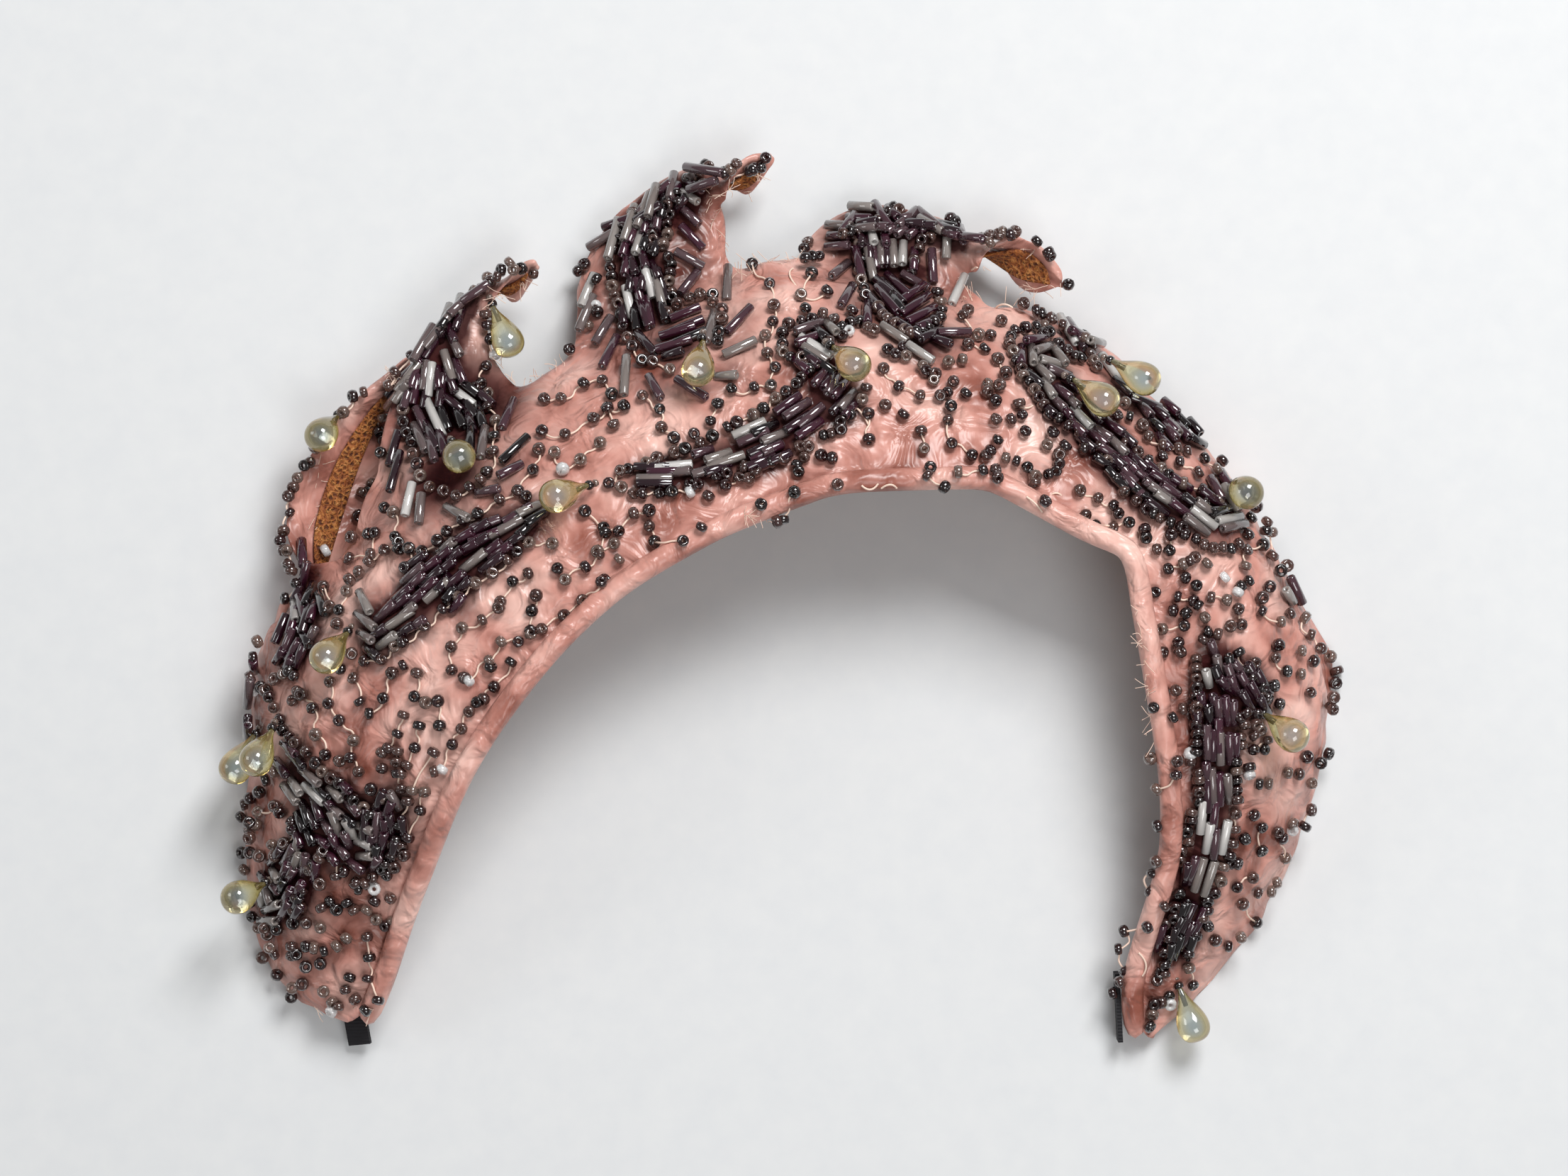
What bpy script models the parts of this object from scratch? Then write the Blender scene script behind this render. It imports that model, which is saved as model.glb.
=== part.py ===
"""A sculptural half-hat of dusty-rose satin over stiff net, edged behind with eight flame points.

The hat lies on its back edge with its face up. +X is its right hand side as seen from above the face,
+Y runs from the two ends to the crest, and +Z points out of the face.
Places in the tables are millimetres on the back plane, as seen from the viewing point above it, and
seen() turns them into true places, because what stands nearer to that point looks larger.
"""

import math

import bmesh
import bpy
from mathutils import Vector
from mathutils.bvhtree import BVHTree
from mathutils.interpolate import poly_3d_calc

MM = 0.001
VIEW_HEIGHT = 793.0  # viewing point above the back plane
PLAN_CENTRE = (-0.5, 77.7)  # middle of the hat on the back plane
SATIN_THICKNESS = 1.2
NET_THICKNESS = 0.9
LAYER_GAP = 0.6  # between satin and net, whose facets follow the twists a little differently
SEAT_GAP = 0.3
BINDING_RADIUS = 1.8
BINDING_GAP = 0.7  # wide enough for the tube's facets in the tight bend at the right
COLUMN_PITCH = 6.8  # length of a facet along the band
BAND_ROWS = 7
ROWS_PER_FOLD = 2
AHEAD = 0.1  # of the way to the next point of a line, where its direction is taken
DROP_LENGTH = 11.0
DROP_RADIUS = 3.5
DROP_BULB = 0.68  # where the drop is widest, as a share of its length from the neck
DROP_SHARPNESS = 1.6  # how fast it narrows to the neck: 0 gives a ball
DROP_NECK_RADIUS = 0.55
DROP_SIDES = 10
DROP_STEP = 0.1  # how finely its place is looked for
DROP_SEARCH = 30.0  # how far
BUGLE_LAYER = 1.7  # height of a field of bugle beads
BUGLE_GAP = 0.6  # what its flat facets need to clear the satin's
BUGLE_FACET = 4.0  # length of a facet along the field
BUGLE_COLUMNS = 4  # facets across it
BUGLE_NARROWING = 0.45  # how much of its width the field loses at its ends
TAPE_SECTION = (4.4, 0.9)
CUTTER_SIZE = (400.0, 400.0, 20.0)

# One row for each section across the band, from the left end over the crest to the right end:
# front edge x, y, height; back edge x, y, height; how far the satin bows out between them.
SECTIONS = (
    # front             back               bow
    (-78.0, -1.0, 8,    -84.0, -2.0, 6,    1),
    (-74.5, 7.5, 13,    -94.5, 3.5, 1,     3),
    (-71.0, 18.0, 19,   -101.0, 15.5, 0,   5),
    (-66.5, 29.5, 27,   -103.0, 29.5, 0,   7),
    (-61.5, 42.0, 34,   -103.0, 42.0, 1,   8),
    (-55.5, 52.5, 37,   -102.0, 53.5, 6,   8),
    (-48.0, 62.5, 38,   -101.0, 64.5, 9,   8),
    (-41.5, 70.0, 39,   -97.5, 75.0, 11,   8),
    (-34.0, 77.0, 39,   -84.0, 87.5, 14,   8),
    (-26.5, 82.5, 39,   -77.5, 104.0, 16,  7),
    (-14.0, 89.5, 39,   -50.0, 120.0, 13,  6),
    (-7.5, 92.5, 39,    -39.0, 126.5, 12,  6),
    (6.0, 97.5, 38,     -7.0, 143.0, 9,    6),
    (14.0, 99.5, 38,    5.5, 145.0, 9,     6),
    (38.0, 100.0, 36,   42.0, 135.0, 12,   5),
    (41.5, 99.5, 35,    46.5, 135.0, 12,   5),
    (59.0, 89.5, 32,    68.5, 120.5, 13,   5),
    (67.0, 85.5, 31,    85.5, 104.0, 13,   5),
    (68.5, 76.0, 30,    94.0, 90.0, 13,    6),
    (71.0, 58.5, 28,    105.0, 63.0, 10,   6),
    (73.0, 43.5, 25,    104.0, 45.0, 5,    6),
    (73.0, 29.0, 20,    99.0, 30.0, 1,     5),
    (68.5, 15.0, 14,    89.0, 12.5, 0,     3),
    (65.0, 4.0, 9,      78.0, 0.0, 0,      2),
    (65.5, -5.5, 5,     69.5, -6.5, 3,     1),
)

# Each flame grows from the back edge between two sections. One row for each fold, root to tip:
# near edge x, y, height; far edge x, y, height; how far the satin bows out between them.
# Near is the edge towards the left end. Where the rows change sides, the flame is twisted over.
FLAMES = {
    "cheek": (5, 7, (
        (-101.0, 61.5, 1,   -96.5, 76.0, 6,    1.0),
        (-96.0, 78.5, 1,    -95.0, 80.5, 3,    0.0),
    )),
    "shell": (7, 8, (
        (-88.0, 80.5, 2,    -91.5, 86.0, 13,   1.0),
        (-79.0, 92.5, 1,    -96.0, 93.0, 10,   2.0),
        (-74.5, 105.5, 1,   -93.0, 104.0, 9,   2.0),
        (-72.0, 116.0, 2,   -85.0, 115.0, 9,   1.5),
        (-71.5, 125.5, 6,   -71.5, 127.5, 9,   0.0),
    )),
    "brow_left": (9, 10, (
        (-74.5, 119.0, 13,  -53.0, 123.5, 12,  2.0),
        (-68.5, 129.0, 11,  -55.5, 130.5, 11,  2.0),
        (-61.0, 138.5, 9,   -55.5, 136.0, 12,  1.0),
        (-53.5, 141.0, 5,   -52.5, 141.0, 14,  1.0),
        (-50.0, 136.5, 7,   -49.5, 145.0, 14,  1.0),
        (-46.0, 144.0, 12,  -46.5, 145.5, 14,  0.0),
    )),
    "crest": (11, 12, (
        (-39.0, 135.5, 8,   -9.0, 146.0, 8,    3.0),
        (-37.5, 145.5, 4,   -9.0, 151.5, 7,    3.0),
        (-30.0, 155.0, 3,   -10.5, 155.0, 9,   2.0),
        (-17.0, 163.5, 5,   -9.5, 156.0, 12,   1.0),
        (-9.5, 161.0, 4,    -9.5, 159.5, 14,   1.5),
        (-4.5, 157.0, 7,    -6.0, 165.0, 13,   1.0),
        (-0.5, 165.0, 10,   -0.5, 166.0, 12,   0.0),
    )),
    "brow_right": (13, 14, (
        (6.5, 149.5, 6,     38.0, 138.5, 10,   3.0),
        (16.0, 156.0, 3,    37.5, 141.0, 9,    3.0),
        (31.0, 153.5, 5,    39.0, 141.5, 12,   2.0),
        (40.5, 147.5, 4,    40.5, 145.5, 15,   1.5),
        (48.0, 138.0, 6,    46.5, 149.5, 14,   2.0),
        (52.5, 138.0, 8,    52.5, 146.5, 13,   1.0),
        (56.5, 139.0, 10,   56.5, 140.0, 12,   0.0),
    )),
    "nape_upper": (15, 16, (
        (53.0, 133.5, 6,    69.0, 121.5, 7,    1.0),
        (66.5, 125.0, 0,    68.5, 123.0, 0,    0.0),
    )),
    "nape_middle": (16, 18, (
        (75.0, 113.5, 6,    92.0, 92.5, 6,     1.0),
        (87.0, 101.5, 0,    89.0, 98.0, 0,     0.0),
    )),
    "nape_lower": (18, 20, (
        (99.5, 79.0, 6,     105.0, 55.5, 3,    1.0),
        (106.5, 66.0, 0,    107.0, 62.0, 0,    0.0),
    )),
}

# The black tapes inside the two ends: upper end, lower end, and the way that the flat side faces.
TAPES = {
    "tape_left": ((-83.5, 9.0, 6.0), (-80.8, -5.8, 2.4), (0.3, 0.2, -1.0)),
    "tape_right": ((63.5, 6.0, 5.0), (63.9, -7.0, 3.2), (-1.0, 0.0, 0.0)),
}

# Fields of bugle beads: width, then the points of the middle line on the satin.
BUGLE_FIELDS = {
    "bugles_brow_left": (
        8.5,
        ((-57.5, 140.0), (-62.5, 134.0), (-66.5, 126.0), (-65.5, 117.0), (-62.5, 108.5)),
    ),
    "bugles_temple_comma": (
        7.0,
        ((-36.5, 101.0), (-47.0, 96.0), (-56.0, 90.5), (-68.0, 82.0), (-76.0, 75.5)),
    ),
    "bugles_crest_spine": (9.0, ((-22.0, 158.0), (-26.0, 152.0), (-26.5, 143.0), (-24.0, 134.0))),
    "bugles_crest_ring": (
        5.5,
        ((-33.0, 126.5), (-29.0, 120.0), (-20.0, 117.0), (-10.5, 118.5), (-5.5, 125.5)),
    ),
    "bugles_centre_loop": (6.0, ((6.0, 114.5), (-4.5, 107.5), (-17.5, 104.5), (-31.0, 102.0))),
    "bugles_centre_hook": (5.0, ((16.0, 131.0), (8.5, 132.5), (2.0, 129.5), (4.0, 123.0), (12.5, 119.0))),
    "bugles_brow_right_fan": (
        8.0,
        ((31.0, 150.0), (23.5, 149.5), (19.5, 144.0), (22.5, 137.5), (29.0, 132.5)),
    ),
    "bugles_right_scroll": (
        6.5,
        ((48.0, 127.5), (51.5, 121.5), (55.5, 115.5), (63.0, 108.5), (71.0, 100.0), (78.0, 93.5)),
    ),
    "bugles_right_edge": (4.5, ((57.5, 127.5), (65.0, 121.5), (71.0, 114.5), (78.0, 107.0))),
    "bugles_right_arm": (
        8.5,
        ((83.0, 69.0), (84.5, 58.5), (84.5, 48.0), (84.0, 36.5), (80.0, 24.0), (74.5, 12.5)),
    ),
    "bugles_left_branch": (7.0, ((-95.0, 54.0), (-89.5, 46.0), (-84.5, 38.5), (-81.0, 29.0))),
    "bugles_left_twig_upper": (4.5, ((-71.5, 46.0), (-73.5, 38.0), (-75.5, 31.0))),
    "bugles_left_twig_lower": (5.0, ((-92.0, 31.5), (-95.5, 25.0), (-98.5, 18.0))),
    "bugles_left_edge": (3.5, ((-88.0, 80.0), (-90.5, 73.5), (-92.0, 66.5))),
}

# Teardrop beads: where the sewn neck is seen, and where the middle of the bulb is.
DROPS = (
    (-53.5, 135.5, -52.0, 129.5),
    (-62.5, 109.5, -61.5, 107.0),
    (-36.5, 101.0, -42.5, 99.0),
    (-14.0, 129.0, -15.0, 123.5),
    (11.0, 127.5, 15.0, 124.0),
    (57.5, 120.5, 63.0, 116.5),
    (65.0, 124.0, 71.0, 120.5),
    (87.0, 100.0, 90.5, 98.0),
    (-83.0, 73.0, -87.0, 68.5),
    (-101.0, 53.5, -104.5, 47.5),
    (-97.5, 54.5, -100.5, 49.0),
    (-99.0, 25.0, -104.0, 22.5),
    (93.0, 55.0, 98.0, 51.0),
    (75.5, 3.0, 78.0, -4.5),
    (-85.5, 116.0, -88.0, 111.5),
)


def seen(x, y, height):
    """The true place, in millimetres, of a point that lies at this height and looks to be at x, y."""
    nearer = 1.0 - height / VIEW_HEIGHT
    return Vector((x * nearer - PLAN_CENTRE[0], y * nearer - PLAN_CENTRE[1], height))


def through(points, place):
    """A smooth curve through the points, read at a place counted in points, and straight beyond its ends."""
    last = len(points) - 1
    i = min(max(int(math.floor(place)), 0), last - 1)
    t = place - i
    if t < 0.0 or t > 1.0:
        return points[i] + (points[i + 1] - points[i]) * t
    before = points[i - 1] if i > 0 else 2 * points[0] - points[1]
    after = points[i + 2] if i + 2 <= last else 2 * points[last] - points[last - 1]
    start, end = points[i], points[i + 1]
    return 0.5 * (
        2 * start
        + (end - before) * t
        + (2 * before - 5 * start + 4 * end - after) * t**2
        + (3 * start - before - 3 * end + after) * t**3
    )


def new_object(name, mesh, colour, roughness, metallic=0.0):
    """An object of this mesh in the hat's collection, with its own plain material."""
    material = bpy.data.materials.new(name + "_finish")
    material.use_nodes = True
    shader = material.node_tree.nodes["Principled BSDF"]
    shader.inputs["Base Color"].default_value = (*colour, 1.0)
    shader.inputs["Roughness"].default_value = roughness
    shader.inputs["Metallic"].default_value = metallic
    obj = bpy.data.objects.new(name, mesh)
    obj.data.materials.append(material)
    bpy.data.collections["sculptural_hat"].objects.link(obj)
    return obj


def mesh_of_rows(name, rows):
    """An open sheet from rows of places in millimetres; it faces along row direction x next row."""
    bm = bmesh.new()
    made = [[bm.verts.new(place * MM) for place in row] for row in rows]
    for low, high in zip(made, made[1:]):
        for j in range(len(low) - 1):
            bm.faces.new((low[j], low[j + 1], high[j + 1], high[j]))
    mesh = bpy.data.meshes.new(name)
    bm.to_mesh(mesh)
    bm.free()
    return mesh


FRONT = [seen(*row[0:3]) for row in SECTIONS]
BACK = [seen(*row[3:6]) for row in SECTIONS]


def band_point(place, across):
    """A point of the satin: place counts the sections, across runs from the binding, 0, to the back, 1."""
    front, back = through(FRONT, place), through(BACK, place)
    along = through(FRONT, place + AHEAD) + through(BACK, place + AHEAD) - front - back
    chord = back - front
    outward = along.cross(chord).normalized()
    start = front + chord.normalized() * (2 * BINDING_RADIUS + BINDING_GAP)
    bow = through([row[6] for row in SECTIONS], place)
    return start + (back - start) * across + outward * (bow * 4 * across * (1 - across))


def band_columns():
    """Places of the band's columns: each stretch between two sections is split into equal facets."""
    places = []
    for i in range(len(SECTIONS) - 1):
        length = max((FRONT[i + 1] - FRONT[i]).length, (BACK[i + 1] - BACK[i]).length)
        count = max(2, round(length / COLUMN_PITCH)) if length > COLUMN_PITCH else 1
        places += [i + j / count for j in range(count)]
    return [*places, float(len(SECTIONS) - 1)]


def flame_rows(columns, first, last, folds):
    """The rows of one flame, from the back edge to its tip, with the columns of the stretch it grows from."""
    root = [c for c in columns if first <= c <= last]
    guides = [
        [band_point(c, 1 - 1 / BAND_ROWS) for c in root],
        [band_point(c, 1.0) for c in root],
    ]
    middle = sum(guides[1], Vector()) / len(root)
    for near_x, near_y, near_z, far_x, far_y, far_z, bow in folds:
        near, far = seen(near_x, near_y, near_z), seen(far_x, far_y, far_z)
        outward = (far - near).cross((near + far) / 2 - middle).normalized()
        middle = (near + far) / 2
        row = []
        for j in range(len(root)):
            w = j / (len(root) - 1)
            row.append(near + (far - near) * w + outward * (bow * 4 * w * (1 - w)))
        guides.append(row)
    rows = []
    for step in range(len(folds) * ROWS_PER_FOLD + 1):
        place = 1 + step / ROWS_PER_FOLD
        rows.append([through([guide[j] for guide in guides], place) for j in range(len(root))])
    return rows


def satin_surface():
    """The outer surface of band and flames as one triangulated sheet, welded along the back edge."""
    columns = band_columns()
    patches = [[[band_point(c, r / BAND_ROWS) for c in columns] for r in range(BAND_ROWS + 1)]]
    patches += [flame_rows(columns, *flame) for flame in FLAMES.values()]
    bm = bmesh.new()
    for i, rows in enumerate(patches):
        mesh = mesh_of_rows(f"patch_{i}", rows)
        bm.from_mesh(mesh)
        bpy.data.meshes.remove(mesh)
    bmesh.ops.remove_doubles(bm, verts=bm.verts, dist=0.01 * MM)
    bmesh.ops.triangulate(bm, faces=bm.faces)
    return bm


def solidified(obj, thickness, offset):
    """Gives an open sheet its thickness: an offset of -1 grows it inwards, 1 outwards."""
    shell = obj.modifiers.new("thickness", "SOLIDIFY")
    shell.thickness = thickness * MM
    shell.offset = offset
    shell.use_even_offset = True
    shell.use_quality_normals = True
    shell.thickness_clamp = 0.0


def cut_flat(obj, height):
    """Takes off what would reach below this height, so that the hat's lowest edges have flat faces."""
    bm = bmesh.new()
    bmesh.ops.create_cube(bm, size=1.0)
    bmesh.ops.scale(bm, verts=bm.verts, vec=Vector(CUTTER_SIZE) * MM)
    bmesh.ops.translate(bm, verts=bm.verts, vec=Vector((0.0, 0.0, height - CUTTER_SIZE[2] / 2)) * MM)
    mesh = bpy.data.meshes.new(obj.name + "_cutter")
    bm.to_mesh(mesh)
    bm.free()
    cutter = bpy.data.objects.new(obj.name + "_cutter", mesh)
    bpy.data.collections["cutters"].objects.link(cutter)
    cutter.hide_render = True
    cutter.display_type = "WIRE"
    cut = obj.modifiers.new("flat_rest", "BOOLEAN")
    cut.operation = "DIFFERENCE"
    cut.solver = "EXACT"
    cut.object = cutter


def make_satin_cover(surface):
    mesh = bpy.data.meshes.new("satin_cover")
    surface.to_mesh(mesh)
    mesh.shade_smooth()
    mesh.set_sharp_from_angle(angle=math.radians(50))
    obj = new_object("satin_cover", mesh, (0.72, 0.36, 0.32), 0.42)
    solidified(obj, SATIN_THICKNESS, -1)
    cut_flat(obj, 0.0)
    return obj


def make_net_frame(surface):
    """The stiff net under the satin, which stops short of the edges where the satin is turned over it."""
    inner = surface.copy()
    inner.normal_update()
    depth = (SATIN_THICKNESS + LAYER_GAP) * MM
    for vertex, place in [(v, v.co - v.normal * depth) for v in inner.verts]:
        vertex.co = place
    rim = [f for f in inner.faces if any(v.is_boundary for v in f.verts)]
    bmesh.ops.delete(inner, geom=rim, context="FACES")
    low = [f for f in inner.faces if min(v.co.z for v in f.verts) < (NET_THICKNESS + LAYER_GAP) * MM]
    bmesh.ops.delete(inner, geom=low, context="FACES")
    mesh = bpy.data.meshes.new("net_frame")
    inner.to_mesh(mesh)
    inner.free()
    mesh.shade_smooth()
    solidified(new_object("net_frame", mesh, (0.28, 0.11, 0.03), 0.8), NET_THICKNESS, -1)


def make_front_binding():
    """The rolled satin strip along the front edge, a soft tube that the band starts behind."""
    line = bpy.data.curves.new("front_binding_line", "CURVE")
    line.dimensions = "3D"
    line.bevel_depth = BINDING_RADIUS * MM
    line.bevel_resolution = 2
    line.use_fill_caps = True
    places = band_columns()
    spline = line.splines.new("POLY")
    spline.points.add(len(places) - 1)
    for point, place in zip(spline.points, places):
        front, back = through(FRONT, place), through(BACK, place)
        middle = front + (back - front).normalized() * BINDING_RADIUS
        point.co = (*(middle * MM), 1.0)
    return new_object("front_binding", line, (0.78, 0.42, 0.38), 0.4)


def make_tape(name, upper, lower, facing):
    """A short flat tape sewn inside an end of the band, whose tip shows past that end."""
    upper, lower = seen(*upper), seen(*lower)
    along = (lower - upper).normalized()
    side = along.cross(Vector(facing)).normalized()
    face = side.cross(along)
    width, thickness = TAPE_SECTION
    length = (lower - upper).length
    bm = bmesh.new()
    bmesh.ops.create_cube(bm, size=1.0)
    for vertex in bm.verts:
        x, y, z = vertex.co
        reach = side * (x * width) + along * (y * length) + face * (z * thickness)
        vertex.co = ((upper + lower) / 2 + reach) * MM
    mesh = bpy.data.meshes.new(name)
    bm.to_mesh(mesh)
    bm.free()
    return new_object(name, mesh, (0.01, 0.01, 0.012), 0.75)


class Ground:
    """What beads are laid on: the satin, and fields of beads once they are added."""

    def __init__(self):
        self.places, self.normals, self.faces = [], [], []
        self.tree = None

    def add(self, obj):
        graph = bpy.context.evaluated_depsgraph_get()
        mesh = obj.evaluated_get(graph).to_mesh()
        mesh.calc_loop_triangles()
        first = len(self.places)
        turned = obj.matrix_world.to_3x3()
        self.places += [(obj.matrix_world @ v.co) / MM for v in mesh.vertices]
        self.normals += [turned @ v.normal for v in mesh.vertices]
        self.faces += [[first + v for v in t.vertices] for t in mesh.loop_triangles]
        self.tree = BVHTree.FromPolygons(self.places, self.faces)

    def under(self, x, y):
        """Place and smooth normal of what is seen at x, y, or of the nearest edge to it."""
        eye = seen(0.0, 0.0, VIEW_HEIGHT)
        foot = seen(x, y, 0.0)
        hit, _, face, _ = self.tree.ray_cast(eye, (foot - eye).normalized())
        if hit is None:
            tries = [self.tree.find_nearest(seen(x, y, height)) for height in range(2, 40, 2)]
            hit, _, face, _ = min(tries, key=lambda found: found[3])
        corners = self.faces[face]
        weights = poly_3d_calc([self.places[v] for v in corners], hit)
        normal = sum((self.normals[v] * w for v, w in zip(corners, weights)), Vector())
        return hit, normal.normalized()

    def clear_of(self, place, radius):
        return self.tree.find_nearest(place)[3] >= radius


def make_bugle_field(name, ground, width, line):
    """One field of bugle beads as a low pad that follows the satin, narrowed at its two ends."""
    line = [Vector(point) for point in line]
    length = sum((b - a).length for a, b in zip(line, line[1:]))
    steps = max(4, round(length / BUGLE_FACET))
    rows = []
    for step in range(steps + 1):
        place = step / steps * (len(line) - 1)
        middle = through(line, place)
        ahead = through(line, place + AHEAD / 2) - through(line, place - AHEAD / 2)
        side = Vector((-ahead.y, ahead.x)).normalized()
        reach = width / 2 * (1 - BUGLE_NARROWING * abs(2 * step / steps - 1) ** 4)
        row = []
        for k in range(BUGLE_COLUMNS + 1):
            spot = middle + side * (reach * (1 - 2 * k / BUGLE_COLUMNS))
            hit, normal = ground.under(spot.x, spot.y)
            row.append(hit + normal * BUGLE_GAP)
        rows.append(row)
    obj = new_object(name, mesh_of_rows(name, rows), (0.05, 0.03, 0.06), 0.2)
    solidified(obj, BUGLE_LAYER, 1)
    return obj


def drop_radius(reach):
    """The radius of a teardrop bead at this share of its length, from its neck, 0, to its round end, 1."""
    round_end, bulb = math.acos(1 - 2 * reach), math.acos(1 - 2 * DROP_BULB)
    full = math.sin(round_end) * math.sin(round_end / 2) ** DROP_SHARPNESS
    widest = math.sin(bulb) * math.sin(bulb / 2) ** DROP_SHARPNESS
    return max(full / widest * DROP_RADIUS, DROP_NECK_RADIUS if reach < DROP_BULB else 0.0)


def drop_mesh():
    """The profile of a teardrop bead, from its round end down to its neck, turned by a Screw modifier."""
    shares = [1.0, 0.97, 0.88, 0.72, 0.52, 0.32, 0.14, 0.0]
    profile = [(drop_radius(share) if 0 < share < 1 else 0.0, share * DROP_LENGTH) for share in shares]
    profile.insert(-1, (DROP_NECK_RADIUS, 0.0))
    mesh = bpy.data.meshes.new("drop_profile")
    points = [(x * MM, 0.0, z * MM) for x, z in profile]
    mesh.from_pydata(points, [(i, i + 1) for i in range(len(points) - 1)], [])
    return mesh


def make_drop(name, mesh, ground, neck_x, neck_y, bulb_x, bulb_y):
    """A teardrop bead sewn on by its neck, brought nearer to the viewing point until it clears the rest."""
    eye = seen(0.0, 0.0, VIEW_HEIGHT)
    neck, _ = ground.under(neck_x, neck_y)
    way = (seen(bulb_x, bulb_y, 0.0) - eye).normalized()
    beside = eye + way * (neck - eye).dot(way)
    depth = math.sqrt(max(0.0, (DROP_BULB * DROP_LENGTH) ** 2 - (beside - neck).length_squared))
    axis = (beside - way * depth - neck).normalized()
    parts = [(axis * (share / 20 * DROP_LENGTH), drop_radius(share / 20) + SEAT_GAP) for share in range(20)]
    step = (eye - neck).normalized() * DROP_STEP
    for _ in range(round(DROP_SEARCH / DROP_STEP)):
        if all(ground.clear_of(neck + reach, r) and (neck + reach).z > r for reach, r in parts):
            break
        neck = neck + step
    else:
        raise ValueError(f"{name} has no clear place")
    obj = new_object(name, mesh, (0.82, 0.76, 0.5), 0.12)
    obj.location = neck * MM
    obj.rotation_mode = "QUATERNION"
    obj.rotation_quaternion = axis.to_track_quat("Z", "Y")
    turn = obj.modifiers.new("turned", "SCREW")
    turn.steps = turn.render_steps = DROP_SIDES
    turn.use_merge_vertices = True
    turn.merge_threshold = 0.01 * MM
    turn.use_smooth_shade = True
    return obj


def main():
    for obj in list(bpy.data.objects):
        bpy.data.objects.remove(obj, do_unlink=True)
    for name in ("sculptural_hat", "cutters"):
        bpy.context.scene.collection.children.link(bpy.data.collections.new(name))
    bpy.data.collections["cutters"].hide_render = True
    surface = satin_surface()
    cover = make_satin_cover(surface)
    make_net_frame(surface)
    surface.free()
    trims = [make_front_binding(), *(make_tape(name, *ends) for name, ends in TAPES.items())]
    bpy.context.view_layer.update()
    satin = Ground()
    satin.add(cover)
    fields = [make_bugle_field(name, satin, *field) for name, field in BUGLE_FIELDS.items()]
    bpy.context.view_layer.update()
    for obj in trims + fields:
        satin.add(obj)
    mesh = drop_mesh()
    for number, places in enumerate(DROPS, start=1):
        drop = make_drop(f"drop_bead_{number:02d}", mesh.copy(), satin, *places)
        bpy.context.view_layer.update()
        satin.add(drop)
    bpy.data.meshes.remove(mesh)


main()
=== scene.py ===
"""The looks of a beaded half-hat of dusty-rose satin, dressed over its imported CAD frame.

Places written as pixels are those of the photograph, 2212 x 1659, and each is laid on the satin under it.
"""

import math
import random

import bmesh
import bpy
import numpy as np
from mathutils import Matrix, Vector, noise
from mathutils.bvhtree import BVHTree
from mathutils.kdtree import KDTree


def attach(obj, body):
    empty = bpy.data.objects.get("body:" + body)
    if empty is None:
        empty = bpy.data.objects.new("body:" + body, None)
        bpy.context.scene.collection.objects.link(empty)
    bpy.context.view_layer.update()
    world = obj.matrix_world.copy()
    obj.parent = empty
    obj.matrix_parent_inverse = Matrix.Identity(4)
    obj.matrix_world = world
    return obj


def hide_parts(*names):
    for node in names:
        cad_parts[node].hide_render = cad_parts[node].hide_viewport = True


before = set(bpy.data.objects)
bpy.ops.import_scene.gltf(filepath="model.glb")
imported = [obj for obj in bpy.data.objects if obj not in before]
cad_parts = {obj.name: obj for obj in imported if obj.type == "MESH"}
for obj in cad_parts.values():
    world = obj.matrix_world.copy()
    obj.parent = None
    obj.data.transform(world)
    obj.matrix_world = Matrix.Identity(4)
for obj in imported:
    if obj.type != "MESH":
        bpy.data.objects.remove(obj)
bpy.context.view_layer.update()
random.seed(4)

# The view of the photograph: it looks straight at the face of the hat from 793 mm, a little below its ends,
# so the camera stands there, above the floor, and is turned to the middle of the hat with a longer lens.
MM = 0.001  # of a metre, the scene's unit
EYE = Vector((0.5, -77.7, 793.0)) * MM
AIM = Vector((1.5, 1.0, 18.0)) * MM

camera_data = bpy.data.cameras.new("camera")
camera_data.sensor_width = 36
camera_data.lens = 95
camera = bpy.data.objects.new("camera", camera_data)
camera.location = EYE
camera.rotation_euler = (EYE - AIM).to_track_quat("Z", "Y").to_euler()
bpy.context.collection.objects.link(camera)
bpy.context.scene.camera = camera
bpy.context.scene.view_settings.view_transform = "Standard"

# The hat lies on a sheet of pale matt paper. A soft key light stands beyond its crest, with a weaker fill
# light on the camera's side and a faint rim light at its left, in a room with soft white light all round.
PAPER_FIBRE = 1.1  # mm: real fibres of about 0.03 mm would not show


def linear(hex_colour):
    """A colour written as sRGB hex, as the linear red, green, blue and alpha that the shaders take."""
    channels = [int(hex_colour[i : i + 2], 16) / 255 for i in (1, 3, 5)]
    return (*[c / 12.92 if c <= 0.04045 else ((c + 0.055) / 1.055) ** 2.4 for c in channels], 1.0)


def add_node(material, kind, inputs=(), stops=(), **settings):
    """Adds a node: its settings, its inputs as fixed values or linked sockets, and a ramp's stops."""
    tree = material.node_tree
    made = tree.nodes.new(kind)
    for name, value in settings.items():
        setattr(made, name, value)
    for name, value in dict(inputs).items():
        if isinstance(value, bpy.types.NodeSocket):
            tree.links.new(value, made.inputs[name])
        else:
            made.inputs[name].default_value = value
    if stops:
        ramp = made.color_ramp.elements
        ramp[0].position, ramp[1].position = stops[0][0], stops[-1][0]
        for position, _ in stops[1:-1]:
            ramp.new(position)
        for stop, (_, colour) in zip(ramp, stops):
            stop.color = linear(colour)
    return made


def new_material(name):
    material = bpy.data.materials.new(name)
    material.use_nodes = True
    material.node_tree.nodes.clear()
    return material


def add_object(name, mesh, *materials):
    made = bpy.data.objects.new(name, mesh)
    for material in materials:
        mesh.materials.append(material)
    bpy.context.collection.objects.link(made)
    return made


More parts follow.
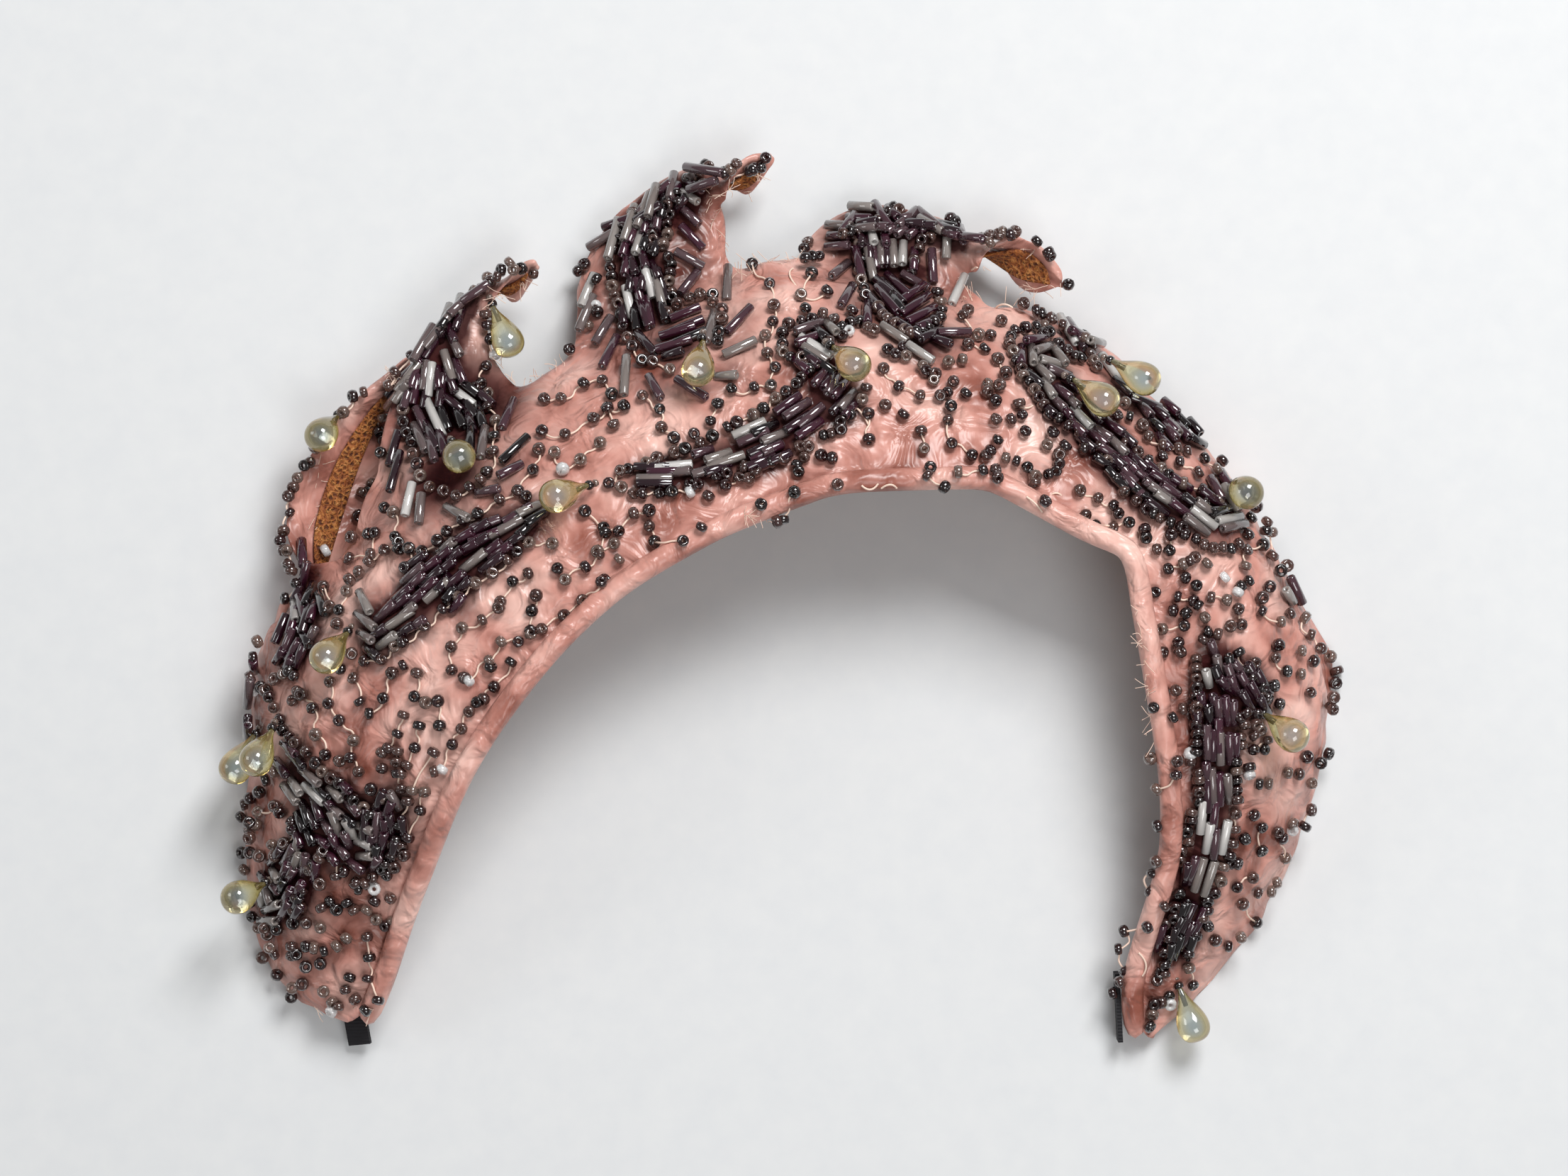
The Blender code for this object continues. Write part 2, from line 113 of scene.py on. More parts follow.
# Rolled paper: rough and even, so that light falls off on it without a shine.
paper = new_material("matt_paper")
fibre = add_node(paper, "ShaderNodeTexNoise", {"Scale": 1 / (PAPER_FIBRE * MM), "Detail": 3.0})
tone = add_node(
    paper, "ShaderNodeValToRGB", {"Fac": fibre.outputs["Fac"]}, stops=((0.0, "#D2D4D6"), (1.0, "#DADBDB"))
)
paper_face = add_node(
    paper, "ShaderNodeBsdfPrincipled", {"Base Color": tone.outputs["Color"], "Roughness": 0.9}
)
add_node(paper, "ShaderNodeOutputMaterial", {"Surface": paper_face.outputs["BSDF"]})
bm = bmesh.new()
bmesh.ops.create_grid(bm, x_segments=1, y_segments=1, size=2.0)
floor_mesh = bpy.data.meshes.new("floor")
bm.to_mesh(floor_mesh)
bm.free()
floor = add_object("floor", floor_mesh, paper)

world = bpy.data.worlds.new("soft_room")
world.use_nodes = True
world.node_tree.nodes["Background"].inputs["Color"].default_value = linear("#FFFFFF")
world.node_tree.nodes["Background"].inputs["Strength"].default_value = 0.21
bpy.context.scene.world = world
for name, place, size, watts in (
    ("key_softbox", (0.30, 0.55, 0.85), 0.42, 10.5),
    ("fill_softbox", (0.30, -0.50, 0.95), 0.5, 3.6),
    ("rim_softbox", (-0.75, 0.1, 0.5), 0.3, 0.9),
):
    light_data = bpy.data.lights.new(name, "AREA")
    light_data.size = size
    light_data.energy = watts
    light = bpy.data.objects.new(name, light_data)
    light.location = place
    light.rotation_euler = Vector(place).to_track_quat("Z", "Y").to_euler()
    bpy.context.collection.objects.link(light)

# The cover is dusty-rose satin, cut in one with its flame points and drawn over the stiff net, with its
# edges turned in. Each bead's stitch pulls a small dimple into it, and it puckers between them.
SATIN_LIGHT, SATIN_ROSE, SATIN_DEEP = "#EABCAF", "#CB9083", "#8E5244"
# the colour of the painted shade under the bugle beads, in the hollows and at the stitches
SATIN_PAINTED_SHADE = "#2C080E"
SATIN_CLOUD = 14.3  # mm from one faded patch to the next
SATIN_CREASE, CREASE_HEIGHT = 6.67, 2.6  # mm
SATIN_FLOAT, FLOAT_HEIGHT = 0.45, 0.2  # mm: real floats of about 0.1 mm would not show
FLOAT_STRETCH = 0.08  # how much slower the weave changes along the floats
WELD = 0.02  # mm: points of a solid that are nearer than this are one
QUAD_BEND, QUAD_SKEW = 50, 70  # degrees that two triangles may bend and skew by and still make one quad


def smooth_copy(node, levels):
    """A node's mesh as quads where it can be, rounded by subdivision."""
    bm = bmesh.new()
    bm.from_mesh(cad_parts[node].data)
    bmesh.ops.remove_doubles(bm, verts=bm.verts, dist=WELD * MM)
    bmesh.ops.join_triangles(
        bm,
        faces=bm.faces,
        angle_face_threshold=math.radians(QUAD_BEND),
        angle_shape_threshold=math.radians(QUAD_SKEW),
    )
    mesh = bpy.data.meshes.new(node + "_cloth")
    bm.to_mesh(mesh)
    bm.free()
    made = bpy.data.objects.new(node + "_cloth", mesh)
    bpy.context.collection.objects.link(made)
    rounding = made.modifiers.new("rounding", "SUBSURF")
    rounding.levels = rounding.render_levels = levels
    bpy.context.view_layer.update()
    rounded = bpy.data.meshes.new_from_object(made.evaluated_get(bpy.context.evaluated_depsgraph_get()))
    bpy.data.objects.remove(made)
    bpy.data.meshes.remove(mesh)
    rounded.materials.clear()
    rounded.shade_smooth()
    return rounded


# Woven silk satin: its long floats shine in soft, broad lights on every crease, and it has faded in patches.
satin = new_material("woven_satin")
place = add_node(satin, "ShaderNodeTexCoord").outputs["Object"]
cloud = add_node(
    satin, "ShaderNodeTexNoise", {"Vector": place, "Scale": 1 / (SATIN_CLOUD * MM), "Detail": 6.0}
)
tone = add_node(
    satin,
    "ShaderNodeValToRGB",
    {"Fac": cloud.outputs["Fac"]},
    stops=((0.32, SATIN_DEEP), (0.47, SATIN_ROSE), (0.66, SATIN_LIGHT)),
)
# Under the bugle beads, in its hollows and at each stitch, a deep wine shadow is painted into its colour.
painted_satin_shade = add_node(satin, "ShaderNodeAttribute", attribute_name="painted_satin_shade")
shadowed = add_node(
    satin,
    "ShaderNodeMixRGB",
    {"Fac": painted_satin_shade.outputs["Fac"], "Color1": tone.outputs["Color"], "Color2": linear(SATIN_PAINTED_SHADE)},
)
creases = add_node(
    satin,
    "ShaderNodeTexNoise",
    {"Vector": place, "Scale": 1 / (SATIN_CREASE * MM), "Detail": 2.5, "Distortion": 0.9},
)
crumpled = add_node(
    satin,
    "ShaderNodeBump",
    {"Height": creases.outputs["Fac"], "Strength": 0.85, "Distance": CREASE_HEIGHT * MM},
)
floats = add_node(satin, "ShaderNodeMapping", {"Vector": place, "Scale": (1.0, FLOAT_STRETCH, 1.0)})
thread = add_node(
    satin,
    "ShaderNodeTexNoise",
    {"Vector": floats.outputs["Vector"], "Scale": 1 / (SATIN_FLOAT * MM), "Detail": 1.0},
)
weave = add_node(
    satin,
    "ShaderNodeBump",
    {
        "Height": thread.outputs["Fac"],
        "Strength": 0.08,
        "Distance": FLOAT_HEIGHT * MM,
        "Normal": crumpled.outputs["Normal"],
    },
)
satin_face = add_node(
    satin,
    "ShaderNodeBsdfPrincipled",
    {
        "Base Color": shadowed.outputs["Color"],
        "Roughness": 0.33,
        "Specular IOR Level": 0.5,
        "Normal": weave.outputs["Normal"],
    },
)
add_node(satin, "ShaderNodeOutputMaterial", {"Surface": satin_face.outputs["BSDF"]})
# Where shade is painted, in the hollows and under the beads, the same satin is copied matt, a painted shade:
# no light reaches it there to shine on.
satin_in_painted_shade = satin.copy()
satin_in_painted_shade.name = "woven_satin_in_painted_shade"
painted_shade_face = satin_in_painted_shade.node_tree.nodes[satin_face.name]
painted_shade_face.inputs["Roughness"].default_value = 0.8
painted_shade_face.inputs["Specular IOR Level"].default_value = 0.06

cover_mesh = smooth_copy("satin_cover", levels=2)
cover = add_object("satin_shell", cover_mesh, satin, satin_in_painted_shade)
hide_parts("satin_cover")
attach(cover, "root")

# The lining is stiff millinery net, woven of coarse brown-gold yarn and sized with glue. It is cut like the
# cover and lies inside it, and it shows where the flame points curl over.
NET_CRUMPLE, NET_SKEW, NET_OPENING = 2.38, 1.2, 1.0  # mm
YARN_HEIGHT = 0.9  # mm

# Woven and sized yarn: dull, rough and uneven; the openings between its strands are painted dark, a painted
# shade.
net = new_material("stiff_net")
place = add_node(net, "ShaderNodeTexCoord").outputs["Object"]
crumple = add_node(
    net,
    "ShaderNodeTexNoise",
    {"Vector": place, "Scale": 1 / (NET_CRUMPLE * MM), "Detail": 5.0, "Distortion": 2.5},
)
yarns = add_node(
    net,
    "ShaderNodeValToRGB",
    {"Fac": crumple.outputs["Fac"]},
    stops=((0.3, "#7A3A14"), (0.5, "#AC662E"), (0.72, "#CC8F50")),
)
bent = add_node(
    net,
    "ShaderNodeMixRGB",
    {"Fac": NET_SKEW * MM, "Color1": place, "Color2": crumple.outputs["Color"]},
    blend_type="ADD",
)
net_mesh = add_node(
    net,
    "ShaderNodeTexVoronoi",
    {"Vector": bent.outputs["Color"], "Scale": 1 / (NET_OPENING * MM)},
    feature="DISTANCE_TO_EDGE",
)
strands = add_node(
    net,
    "ShaderNodeValToRGB",
    {"Fac": net_mesh.outputs["Distance"]},
    stops=((0.08, "#FFFFFF"), (0.42, "#000000")),
)
tone = add_node(
    net,
    "ShaderNodeMixRGB",
    {"Fac": strands.outputs["Color"], "Color1": linear("#4A180B"), "Color2": yarns.outputs["Color"]},
)
depth = add_node(
    net, "ShaderNodeMath", {0: crumple.outputs["Fac"], 1: strands.outputs["Color"]}, operation="MULTIPLY"
)
yarn = add_node(
    net, "ShaderNodeBump", {"Height": depth.outputs["Value"], "Strength": 1.0, "Distance": YARN_HEIGHT * MM}
)
net_face = add_node(
    net,
    "ShaderNodeBsdfPrincipled",
    {"Base Color": tone.outputs["Color"], "Roughness": 0.6, "Normal": yarn.outputs["Normal"]},
)
add_node(net, "ShaderNodeOutputMaterial", {"Surface": net_face.outputs["BSDF"]})
lining = add_object("net_lining", smooth_copy("net_frame", levels=2), net)
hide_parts("net_frame")
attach(lining, "root")

# The front edge is bound with a bias strip of the same satin. It is rolled over on itself and stitched down,
# and presses up plump to the cover.
BINDING_PLUMPNESS = 0.5  # mm

binding = add_object("rolled_binding", smooth_copy("front_binding", levels=1), satin)
plump = [vertex.co + vertex.normal * BINDING_PLUMPNESS * MM for vertex in binding.data.vertices]
binding.data.vertices.foreach_set("co", np.array(plump, dtype=float).ravel())
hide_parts("front_binding")
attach(binding, "root")

# A black petersham tape is sewn inside the two ends of the hat, and its own ends show under them. Its solids
# are plain strips in the frame already, so they only take its material.
TAPE_RIB, RIB_HEIGHT = 0.63, 0.3  # mm
WAVE_BANDS = 20 / math.tau  # the bands that the wave texture draws in one unit at a scale of one

# Woven rayon, nearly black and dull, with fine ribs across.
tape = new_material("ribbed_tape")
place = add_node(tape, "ShaderNodeTexCoord").outputs["Object"]
ribs = add_node(
    tape,
    "ShaderNodeTexWave",
    {"Vector": place, "Scale": 1 / (TAPE_RIB * MM) / WAVE_BANDS},
    bands_direction="Y",
)
tape_bump = add_node(
    tape, "ShaderNodeBump", {"Height": ribs.outputs["Fac"], "Strength": 0.5, "Distance": RIB_HEIGHT * MM}
)
tape_face = add_node(
    tape,
    "ShaderNodeBsdfPrincipled",
    {"Base Color": linear("#17151A"), "Roughness": 0.8, "Normal": tape_bump.outputs["Normal"]},
)
add_node(tape, "ShaderNodeOutputMaterial", {"Surface": tape_face.outputs["BSDF"]})
for name in ("tape_left", "tape_right"):
    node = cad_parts[name]
    node.data.materials.clear()
    node.data.materials.append(tape)

# Bugle beads are tubes of smoky purple glass, drawn and cut to about 7.5 mm, each sewn down through its hole.
# They lie on the satin, or on its edge, where the photograph shows them. Each bead is the pixels of its two
# ends, and its shade from near black, 0, to clear, 9: its glass's own tone, with painted shade in the darkest
# and a painted white glint in the clearest.
PIXELS_PER_MM = 3.39  # on the plane of the hat's back edge
MIDDLE_PIXEL = (1110, 778)  # the pixel that the photograph's camera looks along
NEAREST, FARTHEST = 749, 791  # mm from the eye, between which the hat lies
EDGE_REACH = 1.2  # mm: how far a bead may hang over the edge
BUGLE_LENGTH, BUGLE_RADIUS, BUGLE_SIDES = 7.5, 0.95, 10
LEAST_LENGTH, MOST_TILT = 0.8 * BUGLE_LENGTH, 0.25 * BUGLE_LENGTH  # for a bead that is seen foreshortened
BUGLE_HEIGHT, BOW_SHARE = 1.05, 0.7  # of its radius, and how much of the satin's bow under it lifts a bead
CLEAREST, SHADE_SPREAD = 9, 0.04  # the highest shade, and how far beads of one shade differ, of 1
BUGLES = {
    "brow_left": """
        876,340 892,316 6; 891,316 903,303 5; 900,306 912,294 5; 870,350 887,330 6; 880,352 893,332 2;
        893,331 898,317 7; 902,323 905,311 7; 895,328 900,341 2; 896,335 903,350 6; 892,346 898,366 7;
        899,352 905,368 2; 862,374 878,354 7; 860,381 872,364 7; 882,353 879,373 6; 885,354 882,377 9;
        877,354 871,372 4; 888,357 889,372 2; 866,385 872,366 5; 872,382 876,362 3; 897,371 912,383 9;
        881,379 892,404 9; 874,384 882,402 4; 873,396 881,414 6; 883,404 887,421 5; 905,378 914,392 0;
        899,384 906,399 0; 912,372 925,384 1; 915,384 919,399 0; 890,384 896,400 0; 920,399 917,419 6;
        911,398 910,414 0; 863,400 857,423 1; 865,414 858,440 1; 855,384 869,367 6; 873,434 868,456 9;
        879,441 877,461 6; 894,450 909,458 7; 939,381 931,400 4; 948,405 930,422 0; 944,423 928,431 4;
        914,442 929,439 5
    """,
    "temple_comma": """
        910,465 930,458 5; 922,470 944,458 6; 931,461 950,450 4; 940,456 955,449 7; 890,480 900,472 6;
        898,474 912,466 3; 905,480 922,469 1; 904,492 920,479 7; 915,484 930,473 2; 922,484 936,475 3;
        930,478 944,468 1; 940,470 952,460 0; 946,462 960,453 0; 876,494 890,484 3; 886,496 900,485 1;
        868,505 880,494 4; 878,502 892,490 1; 880,512 896,498 7; 892,504 906,493 2; 860,512 872,502 2;
        861,525 874,514 6; 852,531 873,517 7; 849,524 861,512 5; 870,530 880,523 5; 850,541 861,533 7;
        862,534 873,527 1; 838,505 845,519 7; 836,519 848,529 6; 838,531 846,537 6; 866,500 880,488 5;
        893,512 901,501 0; 901,506 910,497 1; 842,541 850,548 0
    """,
    "crest_spine": """
        976,311 993,297 8; 978,328 992,311 6; 989,271 1009,261 7; 989,280 1006,270 6; 1001,258 1020,252 7;
        1011,250 1030,244 7; 1018,244 1034,238 7; 1031,236 1046,231 6; 1043,230 1056,226 5;
        1053,227 1066,222 5; 1019,284 1024,267 8; 1015,277 1021,263 3; 1028,263 1031,248 1;
        1033,268 1036,250 4; 1012,298 1014,284 3; 1024,291 1030,313 9; 1032,300 1037,323 7;
        1012,305 1017,327 9; 1022,308 1024,294 1; 1029,289 1034,300 1; 1021,315 1028,334 2;
        1026,314 1029,333 3; 1015,283 1019,297 1; 1009,315 1011,331 1; 1017,318 1020,336 0;
        1030,247 1044,237 4; 1022,258 1030,247 5; 1054,236 1063,228 6; 1042,248 1049,238 3;
        1024,281 1028,268 0; 1034,312 1039,330 0; 1049,252 1061,264 5; 1048,265 1063,281 3;
        1044,282 1063,293 5; 1050,242 1061,249 7
    """,
    "crest_ring": """
        992,344 1003,326 5; 997,360 1007,340 4; 1011,379 1013,353 7; 1020,338 1032,352 1;
        1027,366 1035,381 4; 1032,349 1056,342 3; 1037,354 1050,350 1; 1045,368 1065,381 4;
        1042,329 1062,321 3; 1042,338 1064,329 2; 1066,344 1071,324 6; 1076,353 1098,343 7;
        1071,367 1085,366 7; 1079,338 1095,321 4; 1079,317 1080,294 6; 1048,311 1060,296 5
    """,
    "centre_loop": """
        1081,406 1103,396 8; 1084,411 1105,402 5; 1063,422 1080,416 7; 1064,426 1089,418 7;
        1055,418 1068,414 4; 1091,418 1110,410 1; 1030,426 1055,424 9; 1034,430 1054,428 6;
        1018,433 1042,433 6; 1018,436 1042,436 1; 1054,431 1074,425 6; 1092,421 1114,411 3;
        1100,410 1117,403 6; 1100,417 1114,411 5; 1109,391 1126,379 2; 1115,394 1132,383 5;
        1124,400 1141,386 5; 1123,407 1140,396 3
    """,
    "centre_hook": """
        1123,338 1141,331 5; 1143,332 1150,339 7; 1126,341 1147,355 9; 1125,345 1144,358 7;
        1127,350 1138,360 2; 1135,373 1144,362 4; 1141,376 1148,365 2; 1143,379 1151,367 5;
        1147,381 1157,370 3; 1151,389 1161,377 6; 1154,394 1162,385 2
    """,
    "brow_right_fan": """
        1160,250 1176,249 6; 1171,248 1185,251 5; 1160,255 1176,256 7; 1176,253 1186,252 4;
        1150,256 1164,260 4; 1145,267 1162,268 6; 1146,274 1160,274 4; 1144,281 1160,280 5;
        1147,302 1158,293 5; 1153,321 1161,308 4; 1174,270 1176,279 8; 1180,262 1187,269 3;
        1184,272 1194,266 5; 1190,274 1202,266 5; 1194,264 1205,260 5; 1205,263 1218,260 7;
        1198,275 1208,267 4; 1192,252 1204,258 5; 1204,258 1218,259 5; 1218,260 1230,263 4;
        1230,263 1241,266 4; 1180,278 1181,294 6; 1184,279 1184,294 1; 1188,277 1189,294 7;
        1195,278 1194,293 8; 1175,280 1177,296 4; 1171,283 1175,304 7; 1224,270 1223,290 7;
        1232,270 1235,280 3; 1213,283 1214,306 4; 1193,300 1211,311 5; 1176,309 1190,327 2;
        1179,305 1194,321 1; 1183,301 1198,316 2; 1186,314 1193,326 0; 1192,328 1211,315 2;
        1196,333 1215,323 3; 1203,337 1217,330 2; 1170,320 1170,333 3; 1179,334 1196,346 7;
        1196,347 1213,359 8; 1225,321 1234,302 9; 1216,340 1238,340 4; 1212,343 1225,348 1
    """,
    "right_scroll": """
        1270,361 1270,350 3; 1273,346 1287,344 3; 1277,350 1278,361 7; 1282,358 1298,363 7;
        1290,349 1299,362 7; 1279,353 1291,349 6; 1280,362 1290,372 7; 1287,364 1302,370 5;
        1284,372 1291,383 7; 1292,376 1302,384 4; 1290,383 1298,391 5; 1299,382 1307,390 6;
        1303,390 1315,403 9; 1300,397 1311,408 4; 1314,405 1325,415 4; 1316,402 1328,411 5;
        1320,415 1332,423 4; 1326,409 1338,421 6; 1332,420 1345,433 3; 1338,419 1351,432 1;
        1340,428 1354,440 4; 1330,424 1344,440 4; 1334,433 1348,448 4; 1349,438 1363,449 5;
        1352,441 1368,452 6; 1360,441 1373,450 4; 1356,446 1370,456 7; 1366,452 1380,463 3;
        1382,452 1397,464 6; 1379,457 1395,470 8; 1375,462 1390,474 6; 1392,460 1403,458 0;
        1395,466 1411,463 8; 1398,471 1414,468 6; 1399,442 1409,460 7; 1402,440 1413,458 7;
        1406,440 1416,455 5; 1391,437 1399,452 4
    """,
    "right_edge": """
        1295,330 1306,349 9; 1300,333 1310,348 4; 1306,333 1315,334 3; 1313,338 1318,350 5;
        1320,338 1323,349 7; 1322,356 1336,376 9; 1330,372 1342,383 1; 1340,384 1360,392 1;
        1346,388 1354,397 5; 1354,390 1364,399 1; 1360,396 1370,408 3; 1365,400 1372,409 6;
        1370,402 1378,412 2; 1378,411 1388,417 0; 1362,402 1370,412 4; 1441,503 1449,521 4;
        1438,511 1443,520 8
    """,
    "right_arm": """
        1390,543 1394,554 5; 1394,553 1396,566 6; 1387,562 1389,573 8; 1400,558 1406,575 5;
        1404,557 1413,567 5; 1408,564 1417,580 4; 1414,570 1423,586 2; 1420,580 1426,591 1;
        1395,567 1404,577 2; 1402,566 1407,578 4; 1391,578 1393,589 2; 1394,580 1395,597 4;
        1399,579 1400,598 3; 1404,582 1404,598 4; 1388,585 1389,598 0; 1387,597 1387,620 5;
        1391,600 1390,621 2; 1395,602 1395,624 6; 1401,603 1401,623 4; 1405,604 1405,621 3;
        1389,625 1390,648 6; 1386,622 1386,637 4; 1394,628 1394,650 3; 1399,630 1400,648 6;
        1384,646 1381,668 9; 1388,661 1384,680 9; 1399,659 1394,681 9; 1391,664 1389,684 5;
        1378,683 1373,700 4; 1383,683 1376,705 7; 1390,685 1382,708 7; 1373,687 1370,700 1;
        1372,711 1367,725 0; 1376,712 1367,731 1; 1370,712 1364,728 0; 1375,725 1366,742 1;
        1364,728 1359,744 0; 1361,738 1358,752 0; 1367,733 1362,748 0
    """,
    "left_branch": """
        789,602 797,610 4; 784,613 791,623 1; 793,608 802,618 0; 800,619 812,629 6; 794,626 800,635 7;
        789,629 798,641 7; 802,629 815,641 8; 818,631 826,639 7; 808,630 818,638 0; 816,641 826,650 6;
        819,646 825,662 7; 829,640 837,648 5; 814,652 819,660 5; 828,652 834,663 8; 827,660 831,669 5;
        823,668 829,676 5; 836,655 846,660 6; 835,665 845,669 8; 836,675 845,675 7; 830,678 839,685 4;
        805,645 810,657 1; 801,640 806,655 0; 803,655 808,668 0; 810,663 817,668 3
    """,
    "left_twig_upper": """
        849,646 847,666 5; 853,651 853,664 2; 856,634 863,645 6; 853,660 850,674 2; 856,648 858,662 1;
        849,676 844,684 4; 858,640 852,654 2; 848,668 846,680 0
    """,
    "left_twig_lower": """
        799,665 794,677 7; 796,669 789,680 5; 799,674 794,685 7; 803,674 801,687 5; 792,680 788,689 3;
        796,683 791,692 4; 782,684 786,691 7; 779,690 786,698 5; 777,693 781,706 6; 774,696 776,707 8;
        777,710 786,706 7; 774,716 784,717 7; 794,696 788,706 2; 793,704 786,716 4; 801,692 795,702 3;
        790,690 785,700 0; 788,670 781,680 1
    """,
    "left_edge": """
        797,470 798,488 3; 804,485 800,503 2; 796,510 797,524 8; 799,508 804,524 4; 810,512 806,524 3;
        809,500 803,514 0; 812,506 816,520 0; 788,547 796,528 4; 792,549 800,536 4; 793,533 798,515 3;
        797,553 803,539 2; 804,540 810,528 5; 790,556 795,547 2; 800,528 806,540 0; 767,548 771,556 3;
        764,560 766,579 5; 763,590 766,601 2; 758,597 760,584 1
    """,
}
# Filler beads lie this many pixels beside a bead, where more than CROWD others are within CROWD_REACH, and
# no nearer than CLEARANCE to any. They slide along by a share of its length at most.
FILLER_REACH, CROWD_REACH, CROWD, CLEARANCE, FILLER_SLIDE = 7.5, 17, 3, 6.2, 0.3
# Filler beads are painted near black, the shade of the crowded gaps they lie in.
FILLER_SHADES = (0, 1, 1, 2, 3)


def surface_of(*meshes):
    bm = bmesh.new()
    for mesh in meshes:
        bm.from_mesh(mesh)
    surface = BVHTree.FromBMesh(bm)
    bm.free()
    return surface


ground = surface_of(cover.data, lining.data, binding.data)


def on_satin(x, y):
    """The place and normal of what the photograph shows at a pixel, or of the nearest edge to it."""
    foot = Vector(((x - MIDDLE_PIXEL[0]) / PIXELS_PER_MM, (MIDDLE_PIXEL[1] - y) / PIXELS_PER_MM, 0.0)) * MM
    foot += Vector((EYE.x, EYE.y, 0.0))
    way = (foot - EYE).normalized()
    hit, normal, _, _ = ground.ray_cast(EYE, way)
    if hit is None:
        passed = [EYE + way * far * MM for far in range(FARTHEST - 1, NEAREST - 1, -1)]
        tries = [(at, *ground.find_nearest(at)) for at in passed]
        at, edge, normal, _, far = min(tries, key=lambda tried: tried[4])
        hit = edge + (at - edge) * min(1.0, EDGE_REACH * MM / max(far, 1e-9))
    return hit, normal if normal.dot(way) < 0 else -normal


def turned(profile, sides):
    """A ring-shaped bead: a closed profile of radius and height turned about Z, as points and faces."""
    count = len(profile)
    points = [
        (r * math.cos(2 * math.pi * i / sides), r * math.sin(2 * math.pi * i / sides), z)
        for i in range(sides)
        for r, z in profile
    ]
    faces = [
        (i * count + j, k * count + j, k * count + (j + 1) % count, i * count + (j + 1) % count)
        for i, k in zip(range(sides), (*range(1, sides), 0))
        for j in range(count)
    ]
    return np.array(points), np.array(faces)


def strung(name, shape, places, shades, material):
    """One mesh of many like beads: a matrix in metres for each, and a shade that its material reads."""
    points, faces = shape
    flat = np.c_[points, np.ones(len(points))]
    turns = np.array([list(m) for m in places], dtype=float)
    corners = np.einsum("bij,pj->bpi", turns, flat)[:, :, :3].reshape(-1, 3)
    every = (faces[None] + (np.arange(len(places)) * len(points))[:, None, None]).reshape(-1, faces.shape[1])
    mesh = bpy.data.meshes.new(name)
    mesh.from_pydata(corners.tolist(), [], every.tolist())
    shade = mesh.attributes.new("shade", "FLOAT", "POINT")
    shade.data.foreach_set("value", np.repeat(np.array(shades, dtype=float), len(points)))
    mesh.shade_smooth()
    made = add_object(name, mesh, material)
    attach(made, "root")
    return made


def set_at(place, along, up, size):
    """A matrix that stands a bead, made along Z, at a place and along a direction, sized in millimetres."""
    axis = along.normalized()
    side = up.cross(axis)
    side = side.normalized() if side.length > 1e-4 else axis.orthogonal().normalized()
    turn = Matrix((side, axis.cross(side), axis)).transposed().to_4x4()
    return Matrix.Translation(place) @ turn @ Matrix.Diagonal((*[length * MM for length in size], 1.0))


def bugle_between(x1, y1, x2, y2):
    """A bugle bead seen between two pixels, lifted where the satin bows up under it."""
    (start, up1), (end, up2) = on_satin(x1, y1), on_satin(x2, y2)
    middle, up = on_satin((x1 + x2) / 2, (y1 + y2) / 2)
    up = (up + up1 + up2).normalized()
    toward = (EYE - middle).normalized()
    along = end - start
    flat = along - toward * along.dot(toward)
    steep = max(-LEAST_LENGTH * MM, min(LEAST_LENGTH * MM, along.dot(toward)))
    short = (LEAST_LENGTH * MM) ** 2 - flat.length_squared - steep**2
    if short > 0:
        steep += math.copysign(min(math.sqrt(short), MOST_TILT * MM), steep)
    along = flat + toward * steep
    bow = max(0.0, (middle - (start + end) / 2).dot(toward))
    place = (start + end) / 2 + toward * (BOW_SHARE * bow) + up * (BUGLE_RADIUS * BUGLE_HEIGHT * MM)
    return set_at(place, along, up, (BUGLE_RADIUS, BUGLE_RADIUS, along.length / MM))


def between_them(rows):
    """More beads like these in the gaps that the photograph doesn't show clearly, painted near black as
    shade.
    """
    middles = [((x1 + x2) / 2, (y1 + y2) / 2) for x1, y1, x2, y2, _ in rows]
    found = []
    for (x1, y1, x2, y2, _), (x, y) in zip(rows, middles[:]):
        far = math.hypot(x2 - x1, y2 - y1)
        for side in (-1, 1):
            slide = random.uniform(-FILLER_SLIDE, FILLER_SLIDE)
            dx = side * FILLER_REACH * (y2 - y1) / far + slide * (x2 - x1)
            dy = -side * FILLER_REACH * (x2 - x1) / far + slide * (y2 - y1)
            gaps = [math.dist((x + dx, y + dy), other) for other in middles]
            if sum(gap < CROWD_REACH for gap in gaps[: len(rows)]) > CROWD and min(gaps) > CLEARANCE:
                middles.append((x + dx, y + dy))
                found.append((x1 + dx, y1 + dy, x2 + dx, y2 + dy, random.choice(FILLER_SHADES)))
    return found


# Drawn glass: glossy and half clear, from wine black to a clear grey; its sides are painted darker where they
# turn from the eye, a painted shade, and the clearest carry a painted white glint.
bugle_glass = new_material("drawn_smoky_glass")
shade = add_node(bugle_glass, "ShaderNodeAttribute", attribute_name="shade")
tone = add_node(
    bugle_glass,
    "ShaderNodeValToRGB",
    {"Fac": shade.outputs["Fac"]},
    stops=((0.0, "#12050A"), (0.33, "#4E2034"), (0.55, "#5F444B"), (0.78, "#9E938D"), (1.0, "#F2EEEA")),
)
# painted shade: the glass is darkened towards its sides as seen from the eye
rim = add_node(bugle_glass, "ShaderNodeLayerWeight", {"Blend": 0.34})
painted_side_shade = add_node(
    bugle_glass,
    "ShaderNodeMixRGB",
    {"Fac": rim.outputs["Facing"], "Color1": tone.outputs["Color"], "Color2": linear("#14060B")},
)
bugle_face = add_node(
    bugle_glass,
    "ShaderNodeBsdfPrincipled",
    {
        "Base Color": painted_side_shade.outputs["Color"],
        "Roughness": 0.12,
        "Transmission Weight": 0.35,
        "IOR": 1.5,
        "Coat Weight": 1.0,
        "Coat IOR": 1.6,
        "Coat Roughness": 0.05,
    },
)
add_node(bugle_glass, "ShaderNodeOutputMaterial", {"Surface": bugle_face.outputs["BSDF"]})
